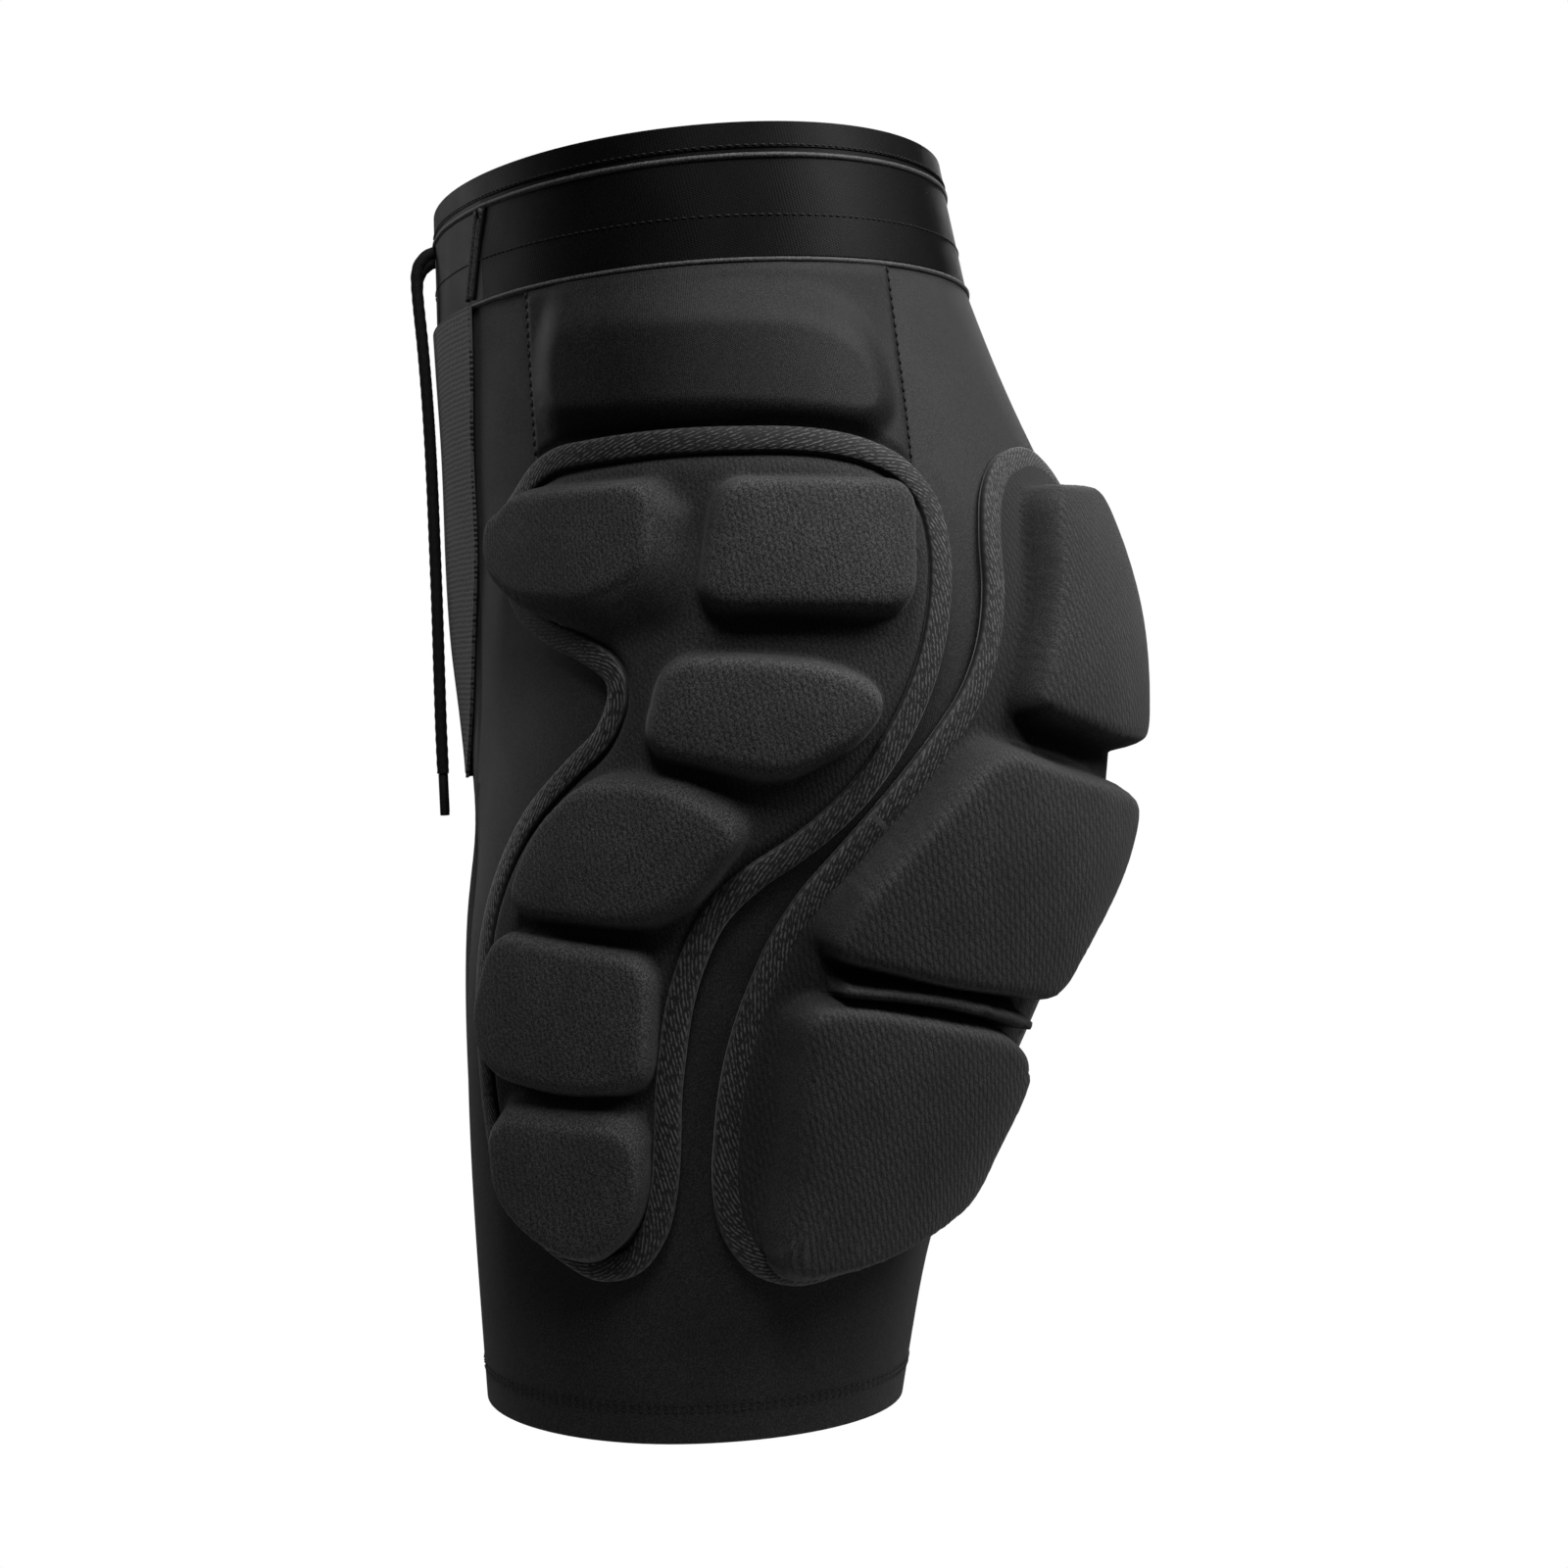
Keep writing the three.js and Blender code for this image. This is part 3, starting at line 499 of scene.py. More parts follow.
thread, shade = new_material("black thread")
place = shade.node("ShaderNodeTexCoord", out=3)
ply = shade.node("ShaderNodeTexNoise", None, {"Vector": place, "Scale": 2500.0, "Detail": 2.0})
set_finish(
    thread,
    Base_Color=grey_between(shade, ply, 0.001, 0.006),
    Roughness=0.6,
    Specular_IOR_Level=0.2,
    Normal=bumped(shade, ply, 0.0001),
)

STITCH_SWELL = ((0.0, 0.35), (0.2, 0.85), (0.5, 1.0), (0.8, 0.85), (1.0, 0.35))  # its thickness along its length
STITCH_SIDES = 6
STITCH_SINK = 0.0001
STITCH_LOFT = 0.0003


def between(at, run, values):
    """The value at a length along a line, from the values at its points."""
    return np.array([np.interp(at, run, values[:, c]) for c in range(3)])


def stitched(name, line, normals, pitch=0.0029, length=0.0019, width=0.00055):
    """A row of lockstitches along a line: short rounded bars of thread that dip into the cloth at both ends."""
    run = lengths_along(line)
    points, faces = [], []
    for start in np.arange(pitch / 2, run[-1] - length, pitch):
        faces += [tuple(len(points) + k for k in face) for face in ring_faces(len(STITCH_SWELL), STITCH_SIDES)]
        for step, swell in STITCH_SWELL:
            at = start + length * step
            middle = between(at, run, line)
            out = unit(between(at, run, normals))
            side = unit(np.cross(between(at + 0.0005, run, line) - middle, out))
            for turn in np.linspace(0, 2 * math.pi, STITCH_SIDES, endpoint=False):
                points.append(
                    middle + out * (STITCH_LOFT * swell - STITCH_SINK + width * 0.45 * swell * math.sin(turn))
                    + side * width * 0.6 * swell * math.cos(turn)
                )
    made = mesh_object(name, points, faces)
    faced_out(made)
    made.data.materials.append(thread)
    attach(made, "root")
    return made


# Hems. Each leg ends in a turned hem of the shell's own cloth. Two close rows of black lockstitches hold it, the
# lower one 11 mm above its edge.
HEM_RISE = 0.011
HEM_ROWS = 0.0022
HEM_HEIGHTS = np.arange(-0.4402, -0.40, 0.0004)  # where a leg's lower edge is looked for

for side in (1, -1):
    axis = np.array((LEG_LINE.x * side, LEG_LINE.y))
    for row in (0, 1):
        line, normals = [], []
        for turn in np.linspace(0, 2 * math.pi, 181):
            heading = Vector((math.sin(turn), -math.cos(turn), 0))
            start = heading * min(0.2, LEG_LINE.x / max(-heading.x * side, 0.01))  # this side of the middle plane
            foot = next(
                z for z in HEM_HEIGHTS
                if outer_cloth.ray_cast(Vector((*axis, z)) + start, -heading, start.length)[0]
            )
            rise = HEM_RISE + row * HEM_ROWS
            place, normal = outer_cloth.ray_cast(Vector((*axis, foot + rise)) + start, -heading)[:2]
            line.append(place)
            normals.append(normal)
        stitched(f"hem_stitch_{'left' if side > 0 else 'right'}_{row + 1}", np.array(line), np.array(normals))

# Pads. Foam blocks are laminated under a knit cover, which dips between them, and each pad is sewn on the shell
# under a tape. Where the edge of a block comes close to the tape the foam bulges out over it. A pad is a closed
# form: the cover over its blocks, and a flat back on the cloth.
TAPE_WIDTH = 0.009
PAD_TUCK = 0.005  # the pad's edge lies this far inside the tape's outer edge
PAD_BACK = 0.0004
PAD_EDGE = 0.0012
PAD_BASE = 0.0038
PAD_DIP = 0.004
BLOCK_ROUND = 0.0032  # how far a block's rounded edge reaches in from its crest
BLOCK_CROWN = 0.0012
CREST_SHARE = 0.88  # of a block's rise is reached at its crest
CREST_CORNER = 0.010
GRID = 0.0021
NEAR = 0.0005  # points of the cover that share a cell of this size count as one
BEND_STEP = 0.0014
WALL_ROWS = (-1.25, -1, -0.8, -0.6, -0.4, -0.2)  # rows of points out from a crest, as shares of a wall's width
CREST_ROWS = (0, 0.2, 0.45, 0.75, 1.1)  # and in from it, as shares of the rounded edge's reach
FOLD_ROWS = (-1.2, -0.8, -0.4, 0, 0.4, 0.8, 1.2)
BULGE_FROM = 0.93 * TAPE_WIDTH  # blocks rise from here inwards
BULGE_WIDTH = 0.0026
FOOT = 0.82  # of a smooth step is used for a wall, so that it meets its crest at an angle
CROWN_REACH = 0.012

# A block is given by its crest, the line where its wall turns into its face. Soft names sides, as angles with 0
# at the back and 90 up, where the wall is wider or narrower by a share. Lean names a side that bulges out, and
# how far.
HIP_RISE = 0.0092
HIP_WALL = 0.0040
HIP_BLOCKS = [
    {"crest": [(32, -0.1225), (69.5, -0.122), (70, -0.151), (58, -0.160), (40, -0.157), (29, -0.148),
               (27, -0.135)],
     "soft": [(-70, 2.4), (0, 1.1)], "lean": (180, 0.004)},
    {"crest": [(80.5, -0.1225), (111, -0.1225), (109.5, -0.1620), (78.5, -0.1615)], "soft": [(180, 1.0)]},
    {"crest": [(73, -0.1797), (86, -0.1795), (97, -0.1822), (105, -0.1905), (101, -0.2035), (89, -0.2155),
               (69.5, -0.2075)], "soft": [(180, 0.9)]},
    {"crest": [(44.5, -0.254), (49, -0.236), (58, -0.2205), (73, -0.2205), (83.5, -0.233), (73, -0.2595),
               (67, -0.264), (45, -0.263)], "soft": [(30, 1.0)]},
    {"crest": [(42, -0.2715), (68.5, -0.2765), (67.5, -0.3175), (55, -0.320), (41, -0.316), (37, -0.300)],
     "lean": (180, 0.002)},
    {"crest": [(41.5, -0.331), (66, -0.3315), (66.5, -0.356), (61, -0.372), (52, -0.370), (43, -0.356)],
     "soft": [(90, 1.6)], "lean": (-130, 0.005)},
]
SEAT_RISE = 0.0142
SEAT_WALL = 0.0052
SEAT_BLOCKS = [
    {"crest": [(143, -0.1235), (168, -0.1215), (172.5, -0.168), (168, -0.206), (148, -0.2045), (130.5, -0.1955),
               (131, -0.188), (137, -0.160)]},
    {"crest": [(96.5, -0.273), (100, -0.2575), (119, -0.215), (124, -0.2085), (138, -0.2175), (163, -0.227),
               (161, -0.243), (149, -0.270), (141.5, -0.291), (117, -0.284)], "soft": [(150, 0.8), (-100, -0.4)]},
    {"crest": [(92.5, -0.291), (101, -0.291), (130, -0.302), (137.5, -0.311), (137, -0.32), (129, -0.352),
               (116, -0.362), (103, -0.3695), (88, -0.3725), (91.5, -0.34)],
     "soft": [(180, 0.9), (80, -0.4)], "lean": (-80, 0.0085)},
]
# Low folds that the cover makes between the seat blocks, as points with a height and a half-width.
SEAT_FOLDS = [
    ([(127, -0.2055), (138.4, -0.2107), (150, -0.2165)], 0.0020, 0.0016),
    ([(99, -0.2850), (117, -0.2898), (136, -0.2992)], 0.0125, 0.0029),
]


def outer_ring(node):
    """The ring of a binding's solid that lies lowest on the cloth and farthest out, as its points in order."""
    worked = bmesh.new()
    worked.from_mesh(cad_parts[node].data)
    bmesh.ops.remove_doubles(worked, verts=worked.verts, dist=1e-5)
    worked.edges.index_update()
    sharp = {e for e in worked.edges if e.calc_face_angle(0) > math.radians(60)}
    rings = []
    while sharp:
        edge = min(sharp, key=lambda e: e.index)
        sharp.discard(edge)
        ring = [edge.verts[0], edge.verts[1]]
        while True:
            here = ring[-1]
            heading = (here.co - ring[-2].co).normalized()
            onward = {
                link: heading.dot((link.other_vert(here).co - here.co).normalized())
                for link in here.link_edges if link in sharp
            }
            if not onward or here is ring[0]:
                break
            following = max(onward, key=onward.get)
            sharp.discard(following)
            ring.append(following.other_vert(here))
        rings.append(np.array([v.co for v in ring[:-1]]))
    worked.free()
    longest = sorted(rings, key=lambda ring: np.linalg.norm(ring - np.roll(ring, 1, axis=0), axis=1).sum())[-2:]
    return min(longest, key=lambda ring: np.linalg.norm(ring[:, :2] - HIP_LINE, axis=1).mean())


def flat_of(bearings, heights):
    return np.stack([np.asarray(bearings) * FLAT_RATE, np.asarray(heights)], axis=1)


def unflat(points):
    return points[:, 0] / FLAT_RATE, points[:, 1]


def turned_in(loop):
    """The unit way inwards at each point of a closed flat loop."""
    edge = np.roll(loop, -1, axis=0) - np.roll(loop, 1, axis=0)
    inwards = unit(np.stack([-edge[:, 1], edge[:, 0]], axis=1))
    x, y = loop.T
    area = np.sum(x * np.roll(y, -1) - y * np.roll(x, -1))
    return inwards * np.sign(area)


def rounded(corners, corner_reach, step=BEND_STEP):
    """A closed flat loop with straight sides and round corners."""
    flat = flat_of(*np.array(corners, float).T)
    line = []
    for k in range(len(flat)):
        before, corner, after = flat[k - 1], flat[k], flat[(k + 1) % len(flat)]
        reach_in = min(corner_reach / np.linalg.norm(before - corner), 0.5)
        reach_out = min(corner_reach / np.linalg.norm(after - corner), 0.5)
        first, last = corner + (before - corner) * reach_in, corner + (after - corner) * reach_out
        for s in np.linspace(0, 1, 12, endpoint=False):
            line.append((1 - s) ** 2 * first + 2 * s * (1 - s) * corner + s * s * last)
    line = np.array(line + line[:1])
    run = lengths_along(line)
    at = np.linspace(0, run[-1], round(run[-1] / step), endpoint=False)
    return np.stack([np.interp(at, run, line[:, k]) for k in (0, 1)], axis=1)


def inside(points, loop, closed=True):
    """How far points lie inside a closed flat loop, negative outside it, and the unit way out of it there.
    With an open line the first result is the distance from it."""
    best = np.full(len(points), np.inf)
    nearest = np.zeros_like(points)
    within = np.zeros(len(points), bool)
    ends = np.roll(loop, -1, axis=0) if closed else loop[1:]
    for a, b in zip(loop, ends):
        edge = b - a
        s = np.clip((points - a) @ edge / max(edge @ edge, 1e-18), 0, 1)
        foot = a + s[:, None] * edge
        gap = np.linalg.norm(points - foot, axis=1)
        nearest = np.where((gap < best)[:, None], foot, nearest)
        best = np.minimum(best, gap)
        if closed and a[1] != b[1]:
            spans = (a[1] > points[:, 1]) != (b[1] > points[:, 1])
            within ^= spans & (points[:, 0] < a[0] + (b[0] - a[0]) * (points[:, 1] - a[1]) / (b[1] - a[1]))
    out = points - nearest
    out = np.where(within[:, None], -out, out) / np.maximum(best, 1e-9)[:, None]
    return (np.where(within, best, -best) if closed else best), out


def smoothstep(x):
    x = np.clip(x, 0, 1)
    return x * x * (3 - 2 * x)


def towards(out, angle):
    """How far a way out points to a side, from 0 to 1."""
    side = np.array((math.cos(math.radians(angle)), math.sin(math.radians(angle))))
    return np.maximum(out @ side, 0)


def filled(border, inner):
    """A flat mesh inside a border through inner points: its points, with the border first, and its triangles."""
    links = [(k, (k + 1) % len(border)) for k in range(len(border))]
    made = delaunay_2d_cdt([Vector(p) for p in np.concatenate([border, inner])], links, [], 1, 1e-6)
    return np.array([tuple(p) for p in made[0]]), [tuple(f) for f in made[2]]


def pad_piece(name, binding, blocks, folds, rise, wall):
    """A pad inside its binding, and the binding's outer ring."""
    ring = along(outer_ring(binding), 0.002, closed=True)
    edge = flat_of(*pattern_of(ring))
    border = edge + turned_in(edge) * PAD_TUCK
    border = border[inside(border, edge)[0] > PAD_TUCK * 0.9]
    low, high = border.min(axis=0), border.max(axis=0)
    across, down = np.meshgrid(np.arange(low[0], high[0], GRID), np.arange(low[1], high[1], GRID))
    across[1::2] += GRID / 2
    free = np.stack([across.ravel(), down.ravel()], axis=1)
    free = free[inside(free, border)[0] > GRID * 0.5]
    loops = [rounded(block["crest"], CREST_CORNER) for block in blocks]
    folds = [(along(flat_of(*np.array(line).T), BEND_STEP), height, half) for line, height, half in folds]
    contours = []
    for loop in loops:
        for d in [share * wall for share in WALL_ROWS] + [share * BLOCK_ROUND for share in CREST_ROWS]:
            moved = loop + turned_in(loop) * d
            contours.append(moved[np.abs(inside(moved, loop)[0] - d) < 0.0003])
        depth = inside(free, loop)[0]
        free = free[(depth < -wall * 1.5) | (depth > BLOCK_ROUND * 1.25)]
    for bend, _, half in folds:
        side = unit(np.gradient(bend, axis=0))[:, ::-1] * (-1, 1)
        contours += [bend + side * half * share for share in FOLD_ROWS]
        free = free[inside(free, bend, closed=False)[0] > half * 1.6]
    contours = np.concatenate(contours)
    contours = contours[inside(contours, border)[0] > 0.0007]
    for corner in (0, 0.5):
        _, first = np.unique(np.floor(contours / NEAR + corner), axis=0, return_index=True)
        contours = contours[np.sort(first)]
    flat, cover = filled(border, np.concatenate([contours, free]))

    from_edge = inside(flat, edge)[0]
    lift = PAD_EDGE + (PAD_BASE - PAD_EDGE) * smoothstep((from_edge - TAPE_WIDTH * 0.95) / PAD_DIP)
    shift = np.zeros_like(flat)
    raised, at_crest = np.zeros(len(flat)), np.zeros(len(flat))
    room = smoothstep((from_edge - BULGE_FROM) / BULGE_WIDTH)
    for block, loop in zip(blocks, loops):
        depth, out = inside(flat, loop)
        soft = block.get("soft", [(0, 0)])
        width = wall * np.prod([1 + times * towards(out, side) for side, times in soft], axis=0)
        climb = smoothstep((depth / width + 1) * FOOT) / smoothstep(FOOT) * CREST_SHARE
        bend = CREST_SHARE + (1 - CREST_SHARE) * (1 - (1 - np.clip(depth / BLOCK_ROUND, 0, 1)) ** 2)
        share = np.where(depth < 0, climb, bend) * room
        crown = BLOCK_CROWN * (1 - np.exp(-np.maximum(depth, 0) / CROWN_REACH))
        lift = lift + rise * share + crown
        raised = np.maximum(raised, share)
        at_crest = np.maximum(at_crest, np.exp(-(((depth - 0.0004) / 0.0011) ** 2)) * room)
        side, reach = block.get("lean", (0, 0))
        bulge = reach * towards(out, side) * smoothstep(share / 0.4) * (1 - smoothstep((depth - 0.001) / 0.02))
        shift += out * (bulge + 0.0007 * np.sin(math.pi * np.clip(share, 0, 1)))[:, None]
    for bend, height, half in folds:
        gap, _ = inside(flat, bend, closed=False)
        swell = 1 - smoothstep(gap / half - 0.45)
        lift = np.maximum(lift, PAD_BASE + height * swell)
        raised = np.maximum(raised, swell * height / rise)
    neighbours = [[] for _ in flat]
    for face in cover:
        for k in range(3):
            neighbours[face[k]].append(face[k - 1])
    averaged = np.array([lift[n].mean() for n in neighbours])
    lift = (lift + averaged) / 2
    top, _ = on_body(*unflat(flat + shift), lift)

    coarse, back = filled(border, free[::23])
    under, _ = on_body(*unflat(coarse), PAD_BACK)
    around = len(border)
    count = len(top)
    sides = [(k, (k + 1) % around, count + (k + 1) % around, count + k) for k in range(around)]
    faces = list(cover) + [tuple(count + k for k in face)[::-1] for face in back] + sides
    piece = mesh_object(name, np.concatenate([top, under]), faces)
    give_uv(piece, np.concatenate([flat, coarse]))
    # The stretch attribute is partly stretched cloth and partly painted light: half as light where the cover lies
    # low between blocks (painted shade), full on block faces, and lighter still along the crests (painted
    # highlight).
    stretch = 0.5 + 0.5 * raised + 0.25 * at_crest
    slope = np.clip(5 * raised * (1 - raised), 0, 1)
    for title, values, at_back in (("stretch", stretch, 0.5), ("slope", slope, 0)):
        layer = piece.data.attributes.new(title, "FLOAT", "POINT")
        layer.data.foreach_set("value", np.append(values, np.full(len(coarse), at_back)))
    faced_out(piece)
    return piece, ring


hip_knit = knit(
    "hip pad cover knit", 0.006, 0.058, 0.0019, 0.00014, ribbing=0.3, dash=1.3, sheen=0.06, stretch_and_shade=True,
)
# Painted shade: the seat cover's colour is set darker than the hip cover's, so that the seat, turned towards the
# main light, comes out darker.
seat_knit_painted_darker = knit(
    "seat pad cover knit with painted shade", 0.004, 0.045, 0.0021, 0.00018, ribbing=0.5, dash=1.8, sheen=0.06, stretch_and_shade=True,
)
tapes = []
for place_name, blocks, folds, rise, wall, pad_knit in (
    ("hip", HIP_BLOCKS, [], HIP_RISE, HIP_WALL, hip_knit),
    ("seat", SEAT_BLOCKS, SEAT_FOLDS, SEAT_RISE, SEAT_WALL, seat_knit_painted_darker),
):
    pad, ring = pad_piece(f"{place_name}_pad_left_cover", f"{place_name}_binding_left", blocks, folds, rise, wall)
    pad.data.materials.append(pad_knit)
    right = other_side(pad, f"{place_name}_pad_right_cover")
    for piece, side in ((pad, "left"), (right, "right")):
        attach(piece, "root")
        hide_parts(f"{place_name}_pad_{side}")
    tapes.append((place_name, ring))

# Binding. A herringbone tape is folded over each pad's edge and sewn to the shell along both of its edges. It is
# flat, with rounded edges, and stands a little off the cloth on its outer side.
TAPE_PROFILE = [  # distance from the outer edge, height over the cloth
    (0.0003, 0.0006),
    (0.0000, 0.0018),
    (0.0003, 0.0030),
    (0.0010, 0.0038),
    (0.0022, 0.0042),
    (0.0045, 0.0043),
    (0.0068, 0.0042),
    (0.0081, 0.0040),
    (0.0088, 0.0034),
    (0.0090, 0.0024),
    (0.0087, 0.0012),
    (0.0045, 0.0008),
]
TWILL_PITCH = 0.00125
TWILL_LEAN = math.radians(21)
EDGE_STITCH = 0.0042

herringbone, shade = new_material("herringbone tape")
u, v = cloth_uv(shade)
lines = v * math.cos(TWILL_LEAN) + u * math.sin(TWILL_LEAN)
strand = u * math.cos(TWILL_LEAN) - v * math.sin(TWILL_LEAN)
grain = shade.node("ShaderNodeCombineXYZ", None, {0: lines * 1500.0, 1: strand * 500.0})
fleck = shade.node(
    "ShaderNodeTexNoise", {"noise_dimensions": "2D"}, {"Vector": grain, "Scale": 1.0, "Detail": 2.0},
)
twill = (lines * (2 * math.pi / TWILL_PITCH) + fleck * 1.0).sine() * 0.5 + 0.5
from_side = TAPE_WIDTH / 2 - abs(v - TAPE_WIDTH / 2)
at_edge = 1 - from_side.clamped(0.0005, 0.0012)
ticks = ((u * (2 * math.pi / EDGE_STITCH) + v * 900.0).sine() * 0.5 + 0.5).clamped(0.2, 0.8) * 0.5 + 0.2
cloth_part = twill.clamped(0.2, 0.85) * fleck.clamped(0.42, 0.58)
# Painted shadow: the colour falls to its darkest within 0.8 mm of both edges of the tape, where it meets the shell
# and the pad.
weave_and_edge_shadow = (cloth_part * (1 - at_edge) + at_edge * ticks) * from_side.clamped(0.0, 0.0008)
set_finish(
    herringbone,
    Base_Color=grey_between(shade, weave_and_edge_shadow, 0.003, 0.070),
    Roughness=0.7,
    Specular_IOR_Level=0.3,
    Sheen_Weight=0.15,
    Sheen_Roughness=0.4,
    Normal=bumped(shade, weave_and_edge_shadow, 0.00016),
)

for place_name, ring in tapes:
    _, out = on_body(*pattern_of(ring))
    forward = unit(np.roll(ring, -1, axis=0) - np.roll(ring, 1, axis=0))
    inward = unit(np.cross(out, forward))
    if inside(flat_of(*pattern_of(ring + inward * 0.002)), flat_of(*pattern_of(ring)))[0].mean() < 0:
        inward = -inward
    points = np.stack([
        on_body(*pattern_of(ring + inward * across), lift)[0] for across, lift in TAPE_PROFILE
    ], axis=1).reshape(-1, 3)
    steps, wide = len(ring), len(TAPE_PROFILE)
    tape = mesh_object(f"{place_name}_binding_left_tape", points, ring_faces(steps, wide, closed=True))
    edges = np.array([across for across, _ in TAPE_PROFILE])
    give_uv(tape, np.stack([np.repeat(lengths_along(ring), wide), np.tile(edges, steps)], axis=1))
    faced_out(tape)
    tape.data.materials.append(herringbone)
    right = other_side(tape, f"{place_name}_binding_right_tape")
    for piece, side in ((tape, "left"), (right, "right")):
        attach(piece, "root")
        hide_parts(f"{place_name}_binding_{side}")

# Waist. A narrow elastic rim tops the waistband, whose front part lies between two upright seams and holds the
# eyelets. The band is a thicker, closer cloth than the shell, and is coloured much darker.
RAY_START = 0.4  # metres from the middle, well outside the waist
RAY_REACH = 0.36
WAIST_REACH = 0.125  # metres of band that a radian round the waist is worth

band_knit = knit(
    "waistband elastic", 0.0003, 0.003, 0.0009, 0.00006, ribbing=0.2, roughness=0.45, specular=0.08, sheen=0.0,
)
band_pieces = {}
for node in ("waist_rim", "waistband", "waistband_front"):
    piece = solid_copy(node, f"{node}_elastic", crease=math.radians(50))
    places = np.array([v.co for v in piece.data.vertices])
    give_uv(piece, np.stack([np.arctan2(places[:, 0], -places[:, 1]) * WAIST_REACH, places[:, 2]], axis=1))
    piece.data.materials.append(band_knit)
    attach(piece, "root")
    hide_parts(node)
    band_pieces[node] = piece


def tree_of(*pieces):
    """A ray-cast tree over several pieces."""
    points, faces = [], []
    for piece in pieces:
        first = len(points)
        points += [v.co.copy() for v in piece.data.vertices]
        faces += [tuple(first + k for k in face.vertices) for face in piece.data.polygons]
    return BVHTree.FromPolygons(points, faces)


def wrap(tree, turns, heights):
    """Points on a tree's outside, and the way out there, at turns round the waist and heights. Over an eyelet the
    face just above or below it counts."""
    points, normals = [], []
    for turn, height in zip(turns, heights):
        heading = Vector((math.sin(turn), -math.cos(turn), 0))
        for aside in (0, 0.001, 0.002, -0.004, -0.006):
            start = Vector((0, 0, height + aside)) + heading * RAY_START
            place, normal = tree.ray_cast(start, -heading, RAY_REACH)[:2]
            if place:
                break
        points.append((place.x, place.y, height))
        normals.append(normal)
    return np.array(points), unit(np.array(normals))


def eased(values, width=5):
    """A closed run of values, each averaged with those on both sides."""
    return np.mean([np.roll(values, k) for k in range(-width, width + 1)], axis=0)


TURNS = np.linspace(0, 2 * math.pi, 360, endpoint=False)
band_skin = tree_of(band_pieces["waistband"], band_pieces["waistband_front"])
rim_skin = tree_of(band_pieces["waist_rim"])
levels = np.arange(0.010, -0.060, -0.0005)
band_top, band_foot = [], []
for turn in TURNS:
    heading = Vector((math.sin(turn), -math.cos(turn), 0))
    struck = [
        z for z in levels if band_skin.ray_cast(Vector((0, 0, z)) + heading * RAY_START, -heading, RAY_REACH)[0]
    ]
    band_top.append(struck[0])
    band_foot.append(struck[-1])
band_top, band_foot = eased(np.array(band_top)), eased(np.array(band_foot))

# Trim of the waist. The band's top edge is a soft rolled fold under the rim, with a row of stitches over it, a
# second row runs 14 mm over its lower edge, and that edge is set on the shell's turned-in top.
ROLL = 0.0010
SEAM_ROLL = 0.0010
STITCH_RISE = 0.014

# Painted highlight: the rolled edges and the seam ridges are the band's and the shell's own cloth, coloured many
# times lighter than either to stand for the light along them.
edge_highlight_knit = knit(
    "rolled edge knit with painted highlight", 0.012, 0.070, 0.0007, 0.00006, ribbing=0.15, roughness=0.55, specular=0.3,
)
points, normals = wrap(band_skin, TURNS, band_top - 0.0022)
roll = swept("waistband_edge_roll", points, normals, ring_profile(ROLL, 10), True)
roll.data.materials.append(edge_highlight_knit)
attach(roll, "root")
points, normals = wrap(tree_of(shell), TURNS, band_foot - 0.0012)
seam = swept("waist_seam_roll", points + normals * 0.0002, normals, ring_profile(SEAM_ROLL, 8), True)
seam.data.materials.append(edge_highlight_knit)
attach(seam, "root")
again = np.append(np.arange(len(TURNS)), 0)
points, normals = wrap(rim_skin, TURNS, band_top + 0.0012)
stitched("rim_stitches", points[again], normals[again])
points, normals = wrap(band_skin, TURNS, band_foot + STITCH_RISE)
stitched("waistband_stitches", points[again], normals[again])

# Upright seams of the waistband, on both sides of its front part. Each is a pair of thin raised edges, coloured
# lighter than the band as a painted highlight, with a thin black ridge behind them where there is only the seam's
# shadow, put there as painted shadow, and leans forward towards its foot.
SEAM_TURNS = (math.radians(46.0), math.radians(41.6))  # round the waist, at the top and at the foot
SEAM_RADIUS = 0.115
SEAM_POINTS = 24
# The first two ridges carry a painted highlight; the third, in black thread, is painted shadow.
SEAM_RIDGES = [(-0.0022, 0.0008, edge_highlight_knit), (0.0022, 0.0011, edge_highlight_knit), (0.0042, 0.0006, thread)]

for side, side_name in ((1, "left"), (-1, "right")):
    for number, (apart, thick, finish) in enumerate(SEAM_RIDGES, 1):
        turns = side * (np.linspace(*SEAM_TURNS, SEAM_POINTS) + apart / SEAM_RADIUS) % (2 * math.pi)
        top = np.interp(turns[0], TURNS, band_top) - 0.003
        foot = np.interp(turns[-1], TURNS, band_foot) + 0.001
        points, normals = wrap(band_skin, turns, np.linspace(top, foot, SEAM_POINTS))
        title = f"waistband_seam_{side_name}_{number}"
        ridge = swept(title, points + normals * 0.0003, normals, ring_profile(thick), False)
        ridge.data.materials.append(finish)
        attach(ridge, "root")

# Upper pad. A thin foam pad lies behind the shell's own cloth below the waistband, between two stitched upright
# seams. Its block stands out softly, with long slopes above it and at both of its ends, and a short one below.
UPPER_SEAMS = [(33.0, 36.5), (118.5, 115.0)]  # bearings at the waistband and at the pad below
UPPER_BLOCK = [
    (43, -0.064), (55, -0.062), (97, -0.063), (108.5, -0.075), (110, -0.105), (88, -0.102), (43, -0.100),
]
UPPER_WIDTH = 0.185
UPPER_CLOTH = 0.0003
UPPER_RISE = 0.0058
UPPER_WALL = 0.0075
UPPER_COLUMNS = 150
UPPER_ROWS = 46

